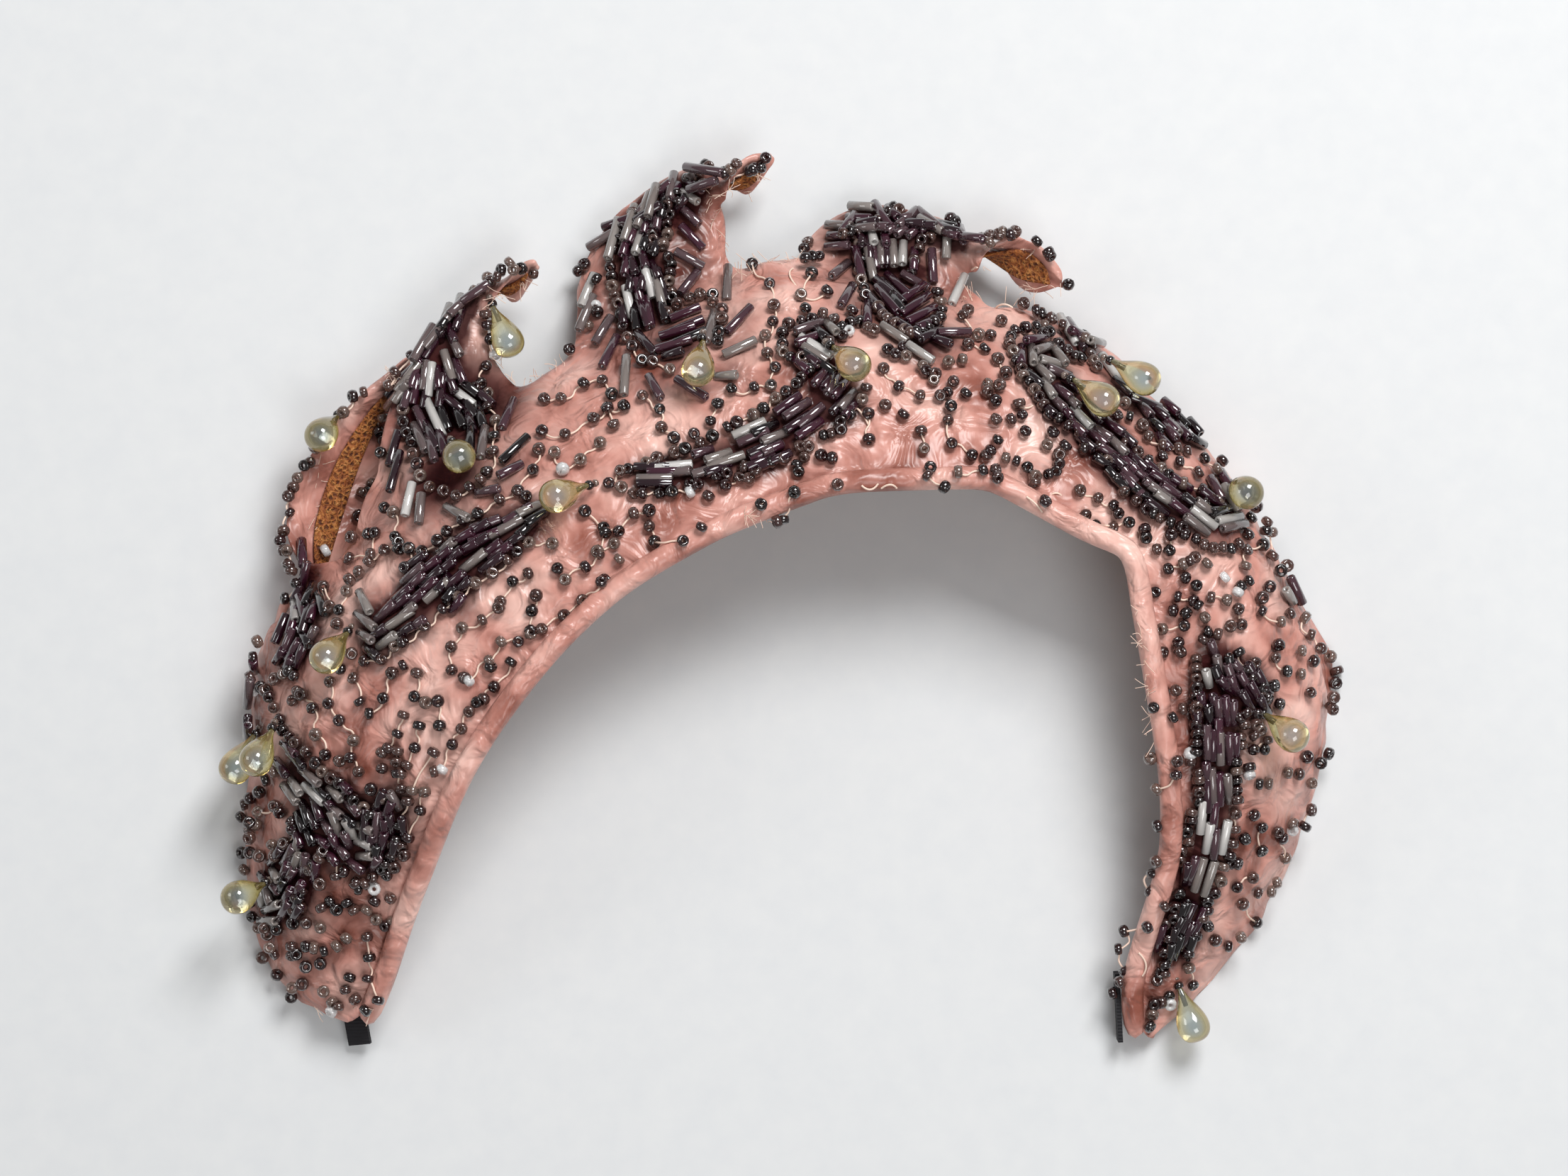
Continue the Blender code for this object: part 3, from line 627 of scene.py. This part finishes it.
# A tube with a hole, its cut ends ground a little, in shares of its radius and its length.
bugle = turned(
    [(0.4, -0.5), (0.85, -0.5), (1.0, -0.475), (1.0, 0.475), (0.85, 0.5), (0.4, 0.5)], BUGLE_SIDES
)
bugle_places = []
for name, written in BUGLES.items():
    rows = [tuple(map(int, row.replace(",", " ").split())) for row in written.split(";")]
    rows += between_them(rows)
    places = [bugle_between(*row[:4]) for row in rows]
    bugle_places += places
    mixed = [row[4] / CLEAREST + random.uniform(-SHADE_SPREAD, SHADE_SPREAD) for row in rows]
    shades = [min(1.0, max(0.0, shade)) for shade in mixed]
    piece = strung("bugle_beads_" + name, bugle, places, shades, bugle_glass)
    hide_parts("bugles_" + name)

# Seed beads are ground rings of dark brown glass, threaded by ones and twos on pale silk that shows between
# them. Each run is one length of thread; its beads are pixels, in the order that they are sewn. A few, where
# a white glint shows, are painted white as a painted glint, and in some places the silk stands up in a loose
# loop.
SEED_RADIUS, SEED_SIDES, SEED_HEIGHT = 1.26, 10, 0.8  # mm, a number, and a share of the radius
SEED_LEAN = (5, 75)  # degrees, by which a bead's hole may lean out of the satin
SEED_SIZES = (0.92, 1.08)  # of the radius
SEED_SHADES = (0.08, 0.18, 0.28, 0.4, 0.5, 0.62)
RUN_REACH = 30.0  # mm: beads farther apart don't show which way the thread goes
THREAD_RADIUS, THREAD_SAG = 0.19, 0.25  # mm, and a share of its length
SHORTEST_THREAD, LONGEST_THREAD = 10, 40  # pixels: between nearer beads it doesn't show
THREAD_REACH, THREAD_LIFT, THREAD_STEP = 12.0, 2.0, 6.0  # mm: longer, higher or steeper, it'd cross a gap
THREAD_HEIGHTS, LOOP_HEIGHTS = (0.6, 0.35, 0.35, 0.6), (0.1, 1.2, 0.1)  # mm over the satin
SEED_RUNS = {
    "between the left flames and the comma": """
        959,381 970,380 985,371 997,369 1003,378; 957,402 972,404 991,394 1000,387 1011,386; 1004,398
        1000,387; 995,410 982,421 970,427; 965,416 970,427; 955,414 951,427 941,441 946,444; 984,454
        997,468 993,482 984,490 971,498 966,491; 963,475 948,474; 947,494 937,499 929,512 928,516 917,524
        904,529 897,541 897,556 905,561 908,563 921,550 922,554 929,538 940,538 948,533 955,530 969,521
        981,511 996,502; 952,508 949,518 948,531; 935,551 924,567 917,575 913,577 908,583 903,594 897,604
        890,620 885,621; 866,553 859,558 853,574 844,584 838,576 834,561 826,555; 875,558 873,573 880,577
        888,576 889,592; 876,592 873,606 868,617 864,622; 866,585 862,597 856,606 852,609 852,619; 819,563
        818,577 825,588 834,601 832,612 837,621; 798,569 801,571 808,580 810,597 816,610 825,614; 885,609
        871,633 879,634 876,646 868,663; 1016,456 1026,454 1026,464 1029,474 1048,474; 1061,466; 996,465
        1006,467 1003,475 992,480; 1006,485; 996,498;
    """,
    "comma's borders": """
        833,545 841,550 852,549 861,541 866,538 880,528 892,517 902,509 913,500 924,494 934,485 940,480;
        838,493 845,486 855,478 864,473 871,477 879,479 889,472 895,466 905,459 915,455 929,446 941,441;
        838,493 832,498 830,505 825,517 824,526;
    """,
    "second flame": """
        866,385 866,393 868,401 872,408 873,416 876,423 878,430 884,437 893,440 901,443 910,438 917,433
        921,428 925,415 926,405 927,395 922,386 919,376 912,371; 951,293 943,291 937,291; 929,281 923,287
        921,293 922,300 925,302 918,307 913,308; 922,322 924,328 925,336 924,350 919,357 916,368 921,375;
    """,
    "first flame and the shell's edge": """
        866,344 852,353 845,362 837,369 831,373 824,383 815,400 808,410 803,418 801,421 796,427 793,433
        788,438 785,448 783,462 782,468 784,476 789,476 788,486 789,491 793,497 784,505; 850,388 848,398
        851,404 852,414; 844,433 842,438 838,439 835,454 834,469; 845,467 849,466 846,481 832,484; 812,477;
        855,450 861,453 862,469 864,477 871,478 868,490;
    """,
    "cheek": """
        775,566 778,568 784,561 789,558; 780,572 783,579 787,587 789,594 793,598 797,602; 771,536; 766,546;
        764,559 770,568; 815,502 819,515; 795,575; 796,559 793,556;
    """,
    "left branch's borders": """
        804,608 810,615 814,621 820,625 825,628 829,635 834,639 840,644 844,649; 845,632 853,638; 846,696
        845,689 840,693 836,696 834,692 827,685; 801,697 797,702 800,708 794,710; 812,676 808,680 805,684;
        814,672; 862,608 861,615 862,622 864,632 868,640 862,656 860,665 864,669 865,674 858,668 857,675
        853,680 859,682 854,687 851,684;
    """,
    "left edge": """
        783,621 778,626 774,634 768,638 764,642 762,650; 760,654 767,659 760,664; 772,655 773,647 784,643
        787,647; 763,673 768,673 774,675; 764,684; 782,668 784,675 790,667 795,658 794,653; 769,714 773,721
        768,724 779,725 785,722;
    """,
    "left end": """
        841,727 842,740 844,756 848,768 841,775; 846,704 841,710; 829,705 833,710; 856,702; 856,717 852,720
        847,716; 818,704 813,708 822,709; 812,693; 820,677 822,688; 795,718 803,718 812,721; 828,728
        822,733 814,736 808,734 803,733; 794,733 794,739 797,738; 783,738; 776,740 770,738; 803,746
        812,744; 785,751; 801,757; 814,762; 830,753 827,761 833,767; 819,769 823,772 819,775; 794,765
        789,763;
    """,
    "crest": """
        1019,257 1017,264 1012,267 1009,275 1005,281 1003,287 1003,293 1004,299 1004,305 1005,311 1007,316
        1009,324 1011,333 1014,341 1017,347 1023,356 1030,357 1041,362; 1047,244 1048,249 1041,251 1042,257
        1040,264 1040,271 1037,278 1040,286 1042,291 1041,296 1040,301 1042,309 1043,314 1047,319 1040,325;
        1028,264 1030,271 1031,275 1030,281; 1054,235 1057,234 1062,232 1065,227 1067,228 1069,220 1072,223
        1077,220 1084,217; 1065,238; 1083,235 1092,226 1097,228 1096,224 1101,224 1104,219; 983,289 983,295
        987,291; 993,318 994,322; 988,331; 975,347; 1055,315 1062,313 1070,313 1070,318; 1076,323 1076,329
        1074,338 1073,344; 1096,293 1107,306 1110,321 1109,331 1104,340 1105,352 1110,361 1107,373 1110,381
        1102,388 1095,392;
    """,
    "centre": """
        1081,375 1096,374 1107,373; 1023,379 1034,388 1035,400 1043,407 1043,416 1050,414; 1032,420
        1025,423 1013,427 1008,428 1000,436 1008,439 1016,443 1022,443 1033,443 1041,442 1053,442 1053,437
        1058,437; 1065,445; 1070,432 1077,430 1076,438 1085,433 1091,434 1096,429 1088,426; 1106,423
        1114,421; 1056,404 1060,410 1068,406; 1067,396 1072,385; 1078,400 1084,397 1095,392 1101,388;
    """,
    "hook": """
        1159,333 1153,335 1148,330 1141,327 1134,330 1127,331 1119,333 1115,339 1115,346 1115,351 1120,355
        1127,355 1128,360 1137,359; 1158,338 1154,341 1145,345; 1132,363 1127,368 1124,372 1117,377;
        1158,393 1152,397 1152,402; 1166,383 1169,375; 1170,392 1170,409; 1141,406 1146,405; 1125,413
        1131,413 1128,420 1123,425 1124,429 1121,443 1112,457 1108,458; 1139,419 1146,421; 1099,451;
        1149,437;
    """,
    "fourth flame": """
        1134,300 1127,314 1144,312; 1130,323; 1160,325; 1142,263 1137,267 1132,273 1133,278 1131,283;
        1155,254 1151,257; 1168,267 1164,273 1166,279 1167,291 1165,299 1166,305 1168,310 1169,315;
        1165,332 1170,336 1174,338; 1177,323 1180,328 1183,331 1188,334 1194,338 1198,340 1202,339 1206,338
        1210,336 1214,333 1218,330 1219,325 1218,320 1216,314; 1214,269 1213,275 1207,277 1205,283 1202,290
        1200,298; 1179,264 1184,261 1186,258 1189,256 1192,258; 1225,265 1228,267; 1241,266 1245,267
        1250,266; 1252,277 1258,270 1261,268 1267,273 1270,269; 1285,276; 1293,283 1293,287; 1300,306;
        1276,311; 1236,326 1233,329; 1258,333; 1243,342 1236,348 1247,351 1251,342; 1232,358 1223,359;
        1283,322 1287,323 1294,325 1302,328 1309,333 1315,340 1320,343;
    """,
    "right of the centre": """
        1183,351 1188,354 1193,349 1195,355; 1180,363 1190,375 1204,381; 1181,387; 1193,393; 1204,404
        1206,415 1210,429 1208,433 1219,438; 1206,362 1208,365 1214,367 1213,371; 1226,372 1222,379
        1217,381 1224,388 1222,397 1224,412 1237,420; 1234,380; 1228,431 1244,431 1252,431 1253,435;
        1246,420 1249,417 1254,410; 1253,397; 1255,358 1260,367 1256,375 1248,374; 1248,379 1253,385;
        1263,397 1270,394 1268,387; 1272,405; 1286,414 1290,406; 1298,415; 1294,420 1294,426 1292,431
        1287,433; 1259,422 1266,424 1273,428 1278,434 1278,438; 1284,451; 1307,444 1319,449 1329,454
        1332,459; 1311,459 1318,464 1329,467 1339,465;
    """,
    "right scroll": """
        1264,343 1263,348 1265,353 1267,359 1270,364 1271,369 1275,373 1278,378 1281,383 1284,388 1288,394
        1294,397 1300,402 1307,406; 1267,339 1273,338 1280,337 1285,337 1288,341 1294,349 1300,353 1305,357
        1309,358 1315,355 1317,360 1319,364; 1284,342; 1310,344 1313,351; 1310,417 1320,416 1325,425
        1331,436 1336,445 1344,451 1350,457 1355,460 1359,463 1366,466 1373,469 1375,474 1382,477 1387,481
        1393,483 1399,483 1404,484 1409,481 1415,475 1417,464 1420,457; 1322,393 1332,396 1340,397 1348,403
        1352,410 1361,416 1371,418 1377,420; 1337,388; 1337,414 1345,420 1352,426 1361,423; 1360,431
        1365,435 1374,441 1386,445 1388,454 1397,452; 1372,427 1384,434 1388,425 1396,432 1399,427;
    """,
    "right side": """
        1349,470 1350,475; 1357,483 1365,484 1366,474; 1364,496 1374,493 1378,491 1381,489; 1389,493;
        1375,502 1382,507; 1356,511; 1370,514 1380,517 1383,520; 1391,515 1401,517 1408,523 1410,533
        1403,534; 1400,502; 1408,512 1410,508 1415,505; 1413,495 1414,485 1424,482; 1430,489 1430,474
        1426,473 1427,467; 1439,496 1435,499; 1428,509 1423,516 1423,525 1435,532 1441,527; 1367,523
        1375,525 1374,533 1360,535; 1361,550 1371,550 1370,544; 1387,528; 1368,575; 1372,587 1379,587;
        1363,593; 1366,621 1365,630 1357,639; 1354,586; 1354,619; 1357,663; 1355,686; 1345,692 1345,704;
        1356,714; 1347,728 1334,732 1328,743 1328,755 1330,764 1326,771; 1386,542 1389,537 1395,539;
    """,
    "right arm's borders": """
        1381,555 1381,561 1381,567 1381,573 1380,579 1381,585 1381,591 1380,597 1381,603 1380,609 1380,615
        1376,621 1381,628 1381,633 1381,640 1381,647 1376,654 1376,659 1373,666 1374,673 1370,679 1369,685;
        1367,706 1364,715 1363,722 1358,726 1359,735 1356,744 1356,752 1356,758; 1408,593 1412,590 1411,598
        1408,606 1409,611 1405,622 1405,628 1405,634 1405,640 1405,646 1404,655 1403,665 1401,674 1399,682
        1395,689 1393,698 1389,706 1384,711 1384,717 1381,722 1376,733 1371,745 1371,754 1373,765;
        1376,616; 1400,687 1404,687; 1384,727; 1408,551 1413,562 1416,568 1422,580 1426,581 1433,585;
        1418,558 1423,574 1430,573; 1419,591 1418,598 1421,601 1417,605 1425,608 1416,614 1423,614;
        1413,625 1413,630;
    """,
    "right edge": """
        1433,547 1431,555 1438,564 1447,566; 1448,551 1455,558; 1453,578; 1450,530 1454,541 1460,550
        1466,555 1470,564 1469,572 1469,581 1465,586 1469,589; 1463,617 1458,623; 1449,619; 1452,636;
        1437,629 1444,630; 1419,636 1425,636; 1415,656 1420,664 1419,679; 1409,671; 1439,662 1439,666
        1430,667 1432,671 1434,684; 1450,665 1456,655; 1413,696 1403,702; 1416,706 1429,708 1434,703;
        1406,713 1414,725; 1388,736 1396,740 1409,738; 1351,762 1353,757; 1358,772 1358,777 1353,776
        1349,777 1348,784 1343,792;
    """,
}
# Seeds painted white, a painted glint where one shows.
SEEDS_WITH_PAINTED_GLINT = {
    (924, 350), (993, 318), (970, 427), (908, 563), (812, 477), (770, 568), (1053, 442), (1158, 338),
    (846, 696), (890, 620), (819, 775), (1400, 502), (1408, 512), (1376, 616), (1413, 630), (1439, 666),
    (1358, 777),
}
THREAD_LOOPS = (
    (1122, 294, 1116, 300, 1126, 308), (1255, 322, 1260, 316, 1267, 318), (1230, 325, 1234, 331, 1239, 336),
    (1161, 386, 1166, 391, 1170, 398), (1165, 438, 1171, 441, 1176, 437), (1178, 440, 1184, 435, 1188, 440),
    (1273, 447, 1279, 451, 1283, 457), (1287, 447, 1292, 443, 1296, 447), (1240, 296, 1244, 292, 1242, 300),
    (1266, 386, 1273, 392, 1278, 387), (1016, 455, 1009, 462, 1006, 467), (1340, 745, 1345, 751, 1342, 760),
)


def new_tubes(name, radius, corners, steps):
    curve = bpy.data.curves.new(name, "CURVE")
    curve.dimensions = "3D"
    curve.bevel_depth = radius * MM
    curve.bevel_resolution = corners
    curve.resolution_u = steps
    return curve


def lay_tube(curve, places):
    """Adds to a curve one tube that bends smoothly by its places."""
    spline = curve.splines.new("NURBS")
    spline.points.add(len(places) - 1)
    for point, place in zip(spline.points, places):
        point.co = (*place, 1.0)
    spline.order_u = 3
    spline.use_endpoint_u = True


def meshed(curve, material):
    """The tubes of a curve as one mesh, riding on the hat."""
    drawn = bpy.data.objects.new(curve.name, curve)
    bpy.context.collection.objects.link(drawn)
    bpy.context.view_layer.update()
    mesh = bpy.data.meshes.new_from_object(drawn.evaluated_get(bpy.context.evaluated_depsgraph_get()))
    bpy.data.objects.remove(drawn)
    mesh.materials.clear()
    made = add_object(curve.name, mesh, material)
    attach(made, "root")
    return made


def lay_thread(points, heights):
    """A thread over the satin through pixels, at heights in millimetres above it, where it crosses no gap."""
    places = [on_satin(x, y) for x, y in points]
    if max((after[0] - before[0]).length for before, after in zip(places, places[1:])) > THREAD_STEP * MM:
        return
    lay_tube(threads, [place + up * height * MM for (place, up), height in zip(places, heights)])


def spans_a_gap(x1, y1, x2, y2):
    """Whether the satin between two pixels lies far from the straight line between their places."""
    start, end = on_satin(x1, y1)[0], on_satin(x2, y2)[0]
    if (end - start).length > THREAD_REACH * MM:
        return True
    for share in (0.25, 0.5, 0.75):
        under = on_satin(x1 + (x2 - x1) * share, y1 + (y2 - y1) * share)[0]
        if (under - start.lerp(end, share)).length > THREAD_LIFT * MM:
            return True
    return False


# Ground glass: each ring is glossy and half clear, from nearly black to a pale brown; the few white are a
# painted glint.
seed_glass = new_material("ground_brown_glass")
shade = add_node(seed_glass, "ShaderNodeAttribute", attribute_name="shade")
tone = add_node(
    seed_glass,
    "ShaderNodeValToRGB",
    {"Fac": shade.outputs["Fac"]},
    stops=((0.0, "#140A0A"), (0.3, "#38191A"), (0.55, "#6D4F47"), (0.8, "#A8968A"), (0.95, "#FFFFFF")),
)
seed_face = add_node(
    seed_glass,
    "ShaderNodeBsdfPrincipled",
    {
        "Base Color": tone.outputs["Color"],
        "Roughness": 0.06,
        "Transmission Weight": 0.5,
        "IOR": 1.5,
        "Coat Weight": 1.0,
        "Coat IOR": 1.6,
        "Coat Roughness": 0.05,
    },
)
add_node(seed_glass, "ShaderNodeOutputMaterial", {"Surface": seed_face.outputs["BSDF"]})
# Twisted silk: pale and dull against the beads.
silk = new_material("twisted_silk")
silk_face = add_node(silk, "ShaderNodeBsdfPrincipled", {"Base Color": linear("#F0D4C2"), "Roughness": 0.6})
add_node(silk, "ShaderNodeOutputMaterial", {"Surface": silk_face.outputs["BSDF"]})
# A rounded ring, in shares of its radius.
lower, upper = ((0.34, -0.42), (0.6, -0.62), (0.88, -0.5)), ((0.88, 0.5), (0.6, 0.62), (0.34, 0.42))
seed = turned([(0.28, 0.0), *lower, (1.0, 0.0), *upper], SEED_SIDES)
seed_places, seed_shades = [], []
threads = new_tubes("silk_threads", THREAD_RADIUS, corners=1, steps=4)
for runs in SEED_RUNS.values():
    for run in runs.split(";"):
        beads = [tuple(map(int, word.split(","))) for word in run.split()]
        for i, (x, y) in enumerate(beads):
            hit, up = on_satin(x, y)
            before, after = beads[max(i - 1, 0)], beads[min(i + 1, len(beads) - 1)]
            along = on_satin(*after)[0] - on_satin(*before)[0]
            if not 1e-6 < along.length < RUN_REACH * MM:
                along = up.orthogonal()
            lean = math.radians(random.uniform(*SEED_LEAN))
            axis = along.normalized() * math.cos(lean) + up * math.sin(lean)
            size = SEED_RADIUS * random.uniform(*SEED_SIZES)
            seed_places.append(set_at(hit + up * size * SEED_HEIGHT * MM, axis, up, (size, size, size)))
            seed_shades.append(1.0 if (x, y) in SEEDS_WITH_PAINTED_GLINT else random.choice(SEED_SHADES))
        for (x1, y1), (x2, y2) in zip(beads, beads[1:]):
            far = math.hypot(x2 - x1, y2 - y1)
            if SHORTEST_THREAD < far < LONGEST_THREAD and not spans_a_gap(x1, y1, x2, y2):
                sags = [random.uniform(-THREAD_SAG, THREAD_SAG) for _ in range(2)]
                bends = [
                    (x1 + (x2 - x1) * share + (y2 - y1) * sag, y1 + (y2 - y1) * share - (x2 - x1) * sag)
                    for share, sag in zip((0.33, 0.67), sags)
                ]
                lay_thread([(x1, y1), *bends, (x2, y2)], THREAD_HEIGHTS)
for loop in THREAD_LOOPS:
    lay_thread(list(zip(loop[::2], loop[1::2])), LOOP_HEIGHTS)
strung("seed_beads", seed, seed_places, seed_shades, seed_glass)
meshed(threads, silk)

# The stitches draw the satin in, and it stands up in small puckers between them. It is drawn to the rolled
# binding as well, so no slit shows beside it. Where it folds into a hollow, lies under a crowd of bugle beads
# or sinks at a stitch, a wine red painted shade is mixed in: each pool is a pixel and a radius in
# millimetres.
DIMPLE_DEPTH, DIMPLE_REACH, PUCKER_HEIGHT, PUCKER_LENGTH = 0.5, 1.5, 0.75, 5.5
SEAM_REACH, SEAM_PULL = 1.8, 1.8  # mm from the binding, and how soon within it the cover is drawn quite down
FLOOR_GAP = 0.1  # mm: the puckers don't press into the floor
# How far and how strongly the painted shade darkens the satin: by crowds of bugle beads, by pools and by
# stitch dimples; past MATT_SHADE the satin takes its matt copy.
SHADOW_REACH, FULL_SHADOW = 4.0, 9  # mm, and the quarters of bugle beads that darken all within it
BEADS_PAINTED_SHADE, POOL_PAINTED_SHADE, DIMPLE_PAINTED_SHADE = 0.95, 0.985, 0.4
MATT_SHADE = 0.6  # from this shade on, the satin looks matt
PAINTED_SHADE_POOLS = (
    (905, 386, 14.0), (893, 428, 10.0), (925, 462, 4.5), (905, 480, 4.5), (880, 500, 4.5), (848, 528, 6.0),
    (1022, 322, 5.0), (1192, 318, 6.0), (1372, 715, 5.5), (1395, 458, 4.5), (830, 655, 4.5), (1150, 378, 4.5),
)


def tree_of(places):
    tree = KDTree(len(places))
    for i, place in enumerate(places):
        tree.insert(place, i)
    tree.balance()
    return tree


stitches = tree_of([matrix.translation for matrix in seed_places])
quarters = (-0.45, -0.15, 0.15, 0.45)  # of a bugle bead's length
fields = tree_of([matrix @ Vector((0, 0, z)) for matrix in bugle_places for z in quarters])
pools = [(on_satin(x, y)[0], reach * MM) for x, y, reach in PAINTED_SHADE_POOLS]
roll = surface_of(binding.data)
# the painted shade of each point of the satin, which its material mixes in
shades = cover_mesh.attributes.new("painted_satin_shade", "FLOAT", "POINT").data
moved = []
for vertex in cover_mesh.vertices:
    far = stitches.find(vertex.co)[2] / MM
    dimple = math.exp(-((far / DIMPLE_REACH) ** 2))
    crowd = min(1.0, len(fields.find_range(vertex.co, SHADOW_REACH * MM)) / FULL_SHADOW)
    pool = max(math.exp(-(((vertex.co - at).length / reach) ** 4)) for at, reach in pools)
    shades[vertex.index].value = max(BEADS_PAINTED_SHADE * crowd, POOL_PAINTED_SHADE * pool, DIMPLE_PAINTED_SHADE * dimple)
    pucker = noise.noise(vertex.co / (PUCKER_LENGTH * MM)) * (1 - dimple) * PUCKER_HEIGHT
    lifted = vertex.co + vertex.normal * (pucker - dimple * DIMPLE_DEPTH) * MM
    lifted.z = max(lifted.z, min(vertex.co.z, FLOOR_GAP * MM))
    sewn, _, _, far = roll.find_nearest(lifted)
    moved.append(lifted.lerp(sewn, min(1.0, SEAM_PULL * max(0.0, 1 - far / (SEAM_REACH * MM)))))
cover_mesh.vertices.foreach_set("co", np.array(moved, dtype=float).ravel())
for face in cover_mesh.polygons:
    face.material_index = int(min(shades[i].value for i in face.vertices) > MATT_SHADE)

# The cut edges fray into fine rose and straw fibres, most where the satin is turned over at the flame points.
# Each row is the pixels of two ends of an edge, and how many fibres stand out of it.
FRAYS = (
    (950, 296, 925, 315, 14), (925, 315, 940, 372, 16), (940, 372, 975, 352, 14), (1068, 240, 1072, 268, 14),
    (1072, 268, 1090, 292, 12), (1090, 292, 1130, 288, 16), (1075, 245, 1104, 240, 16),
    (1256, 300, 1232, 318, 12), (1262, 306, 1296, 312, 16), (1250, 280, 1290, 284, 10),
    (812, 400, 806, 470, 14), (850, 362, 858, 350, 8), (1344, 520, 1350, 575, 18), (1350, 575, 1353, 610, 10),
    (1088, 456, 1104, 462, 14), (845, 775, 800, 776, 8),
)
FIBRE_RADIUS, FIBRE_LENGTH, FIBRE_CURL = 0.06, 2.4, 0.15  # mm
FIBRE_SPREAD = (0.6, 1.2)  # of the length
FIBRE_RISE = 0.8  # how strongly they stand out of the satin
fibres = new_tubes("frayed_fibres", FIBRE_RADIUS, corners=0, steps=3)
for x1, y1, x2, y2, count in FRAYS:
    for _ in range(count):
        share = random.random()
        root, up = on_satin(x1 + (x2 - x1) * share, y1 + (y2 - y1) * share)
        way = (Vector([random.uniform(-1, 1) for _ in range(3)]) + up * FIBRE_RISE).normalized()
        curl = Vector([random.uniform(-1, 1) for _ in range(3)]) * FIBRE_CURL * MM
        steps = [k / 3 * FIBRE_LENGTH * random.uniform(*FIBRE_SPREAD) * MM for k in range(4)]
        lay_tube(fibres, [root + way * step + curl * k * k for k, step in enumerate(steps)])
meshed(fibres, silk)

# The drops are pressed champagne glass with a faint blue-grey lustre. Each is drilled at the neck, where the
# thread holds it with one dark seed bead, and the drilled channel shows as a dark line inside.
CHANNEL_LENGTH, CHANNEL_RADIUS = 4.0, 0.34
NECK_SEEDS = ((0.4, 1.0, 0.05), (1.9, 0.75, 0.7))  # mm from the neck, radius in mm, and shade

# Pressed glass with a lustre fired on: clear and yellow; where it faces us it is painted blue-grey, a painted
# sheen, and at its rim a darker olive, a painted shade.
drop_glass = new_material("pressed_lustre_glass")
facing = add_node(drop_glass, "ShaderNodeLayerWeight", {"Blend": 0.45})
tone = add_node(
    drop_glass,
    "ShaderNodeValToRGB",
    {"Fac": facing.outputs["Facing"]},
    stops=((0.0, "#B2BDBE"), (0.3, "#DDCE96"), (0.62, "#CBAD4C"), (1.0, "#64501A")),
)
drop_face = add_node(
    drop_glass,
    "ShaderNodeBsdfPrincipled",
    {
        "Base Color": tone.outputs["Color"],
        "Roughness": 0.05,
        "Transmission Weight": 0.8,
        "IOR": 1.45,
        "Coat Weight": 1.0,
        "Coat IOR": 1.5,
        "Coat Roughness": 0.03,
    },
)
add_node(drop_glass, "ShaderNodeOutputMaterial", {"Surface": drop_face.outputs["BSDF"]})
neck_places, neck_shades, channels = [], [], []
for name in sorted(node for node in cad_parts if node.startswith("drop_bead_")):
    drop_mesh = smooth_copy(name, levels=2)
    corners = [vertex.co for vertex in drop_mesh.vertices]
    middle = sum(corners, Vector()) / len(corners)
    neck = max(corners, key=lambda corner: (corner - middle).length).copy()
    axis = (middle - neck).normalized()
    drop = add_object(name.replace("bead", "glass"), drop_mesh, drop_glass)
    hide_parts(name)
    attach(drop, "root")
    inside = neck + axis * (CHANNEL_LENGTH / 2 * MM)
    bore = (CHANNEL_RADIUS, CHANNEL_RADIUS, CHANNEL_LENGTH)
    channels.append(set_at(inside, axis, axis.orthogonal(), bore))
    for step, size, shade in NECK_SEEDS:
        neck_places.append(set_at(neck - axis * step * MM, axis, axis.orthogonal(), (size, size, size)))
        neck_shades.append(shade)
strung("neck_seeds", seed, neck_places, neck_shades, seed_glass)
strung("drilled_channels", bugle, channels, [0.0] * len(channels), bugle_glass)
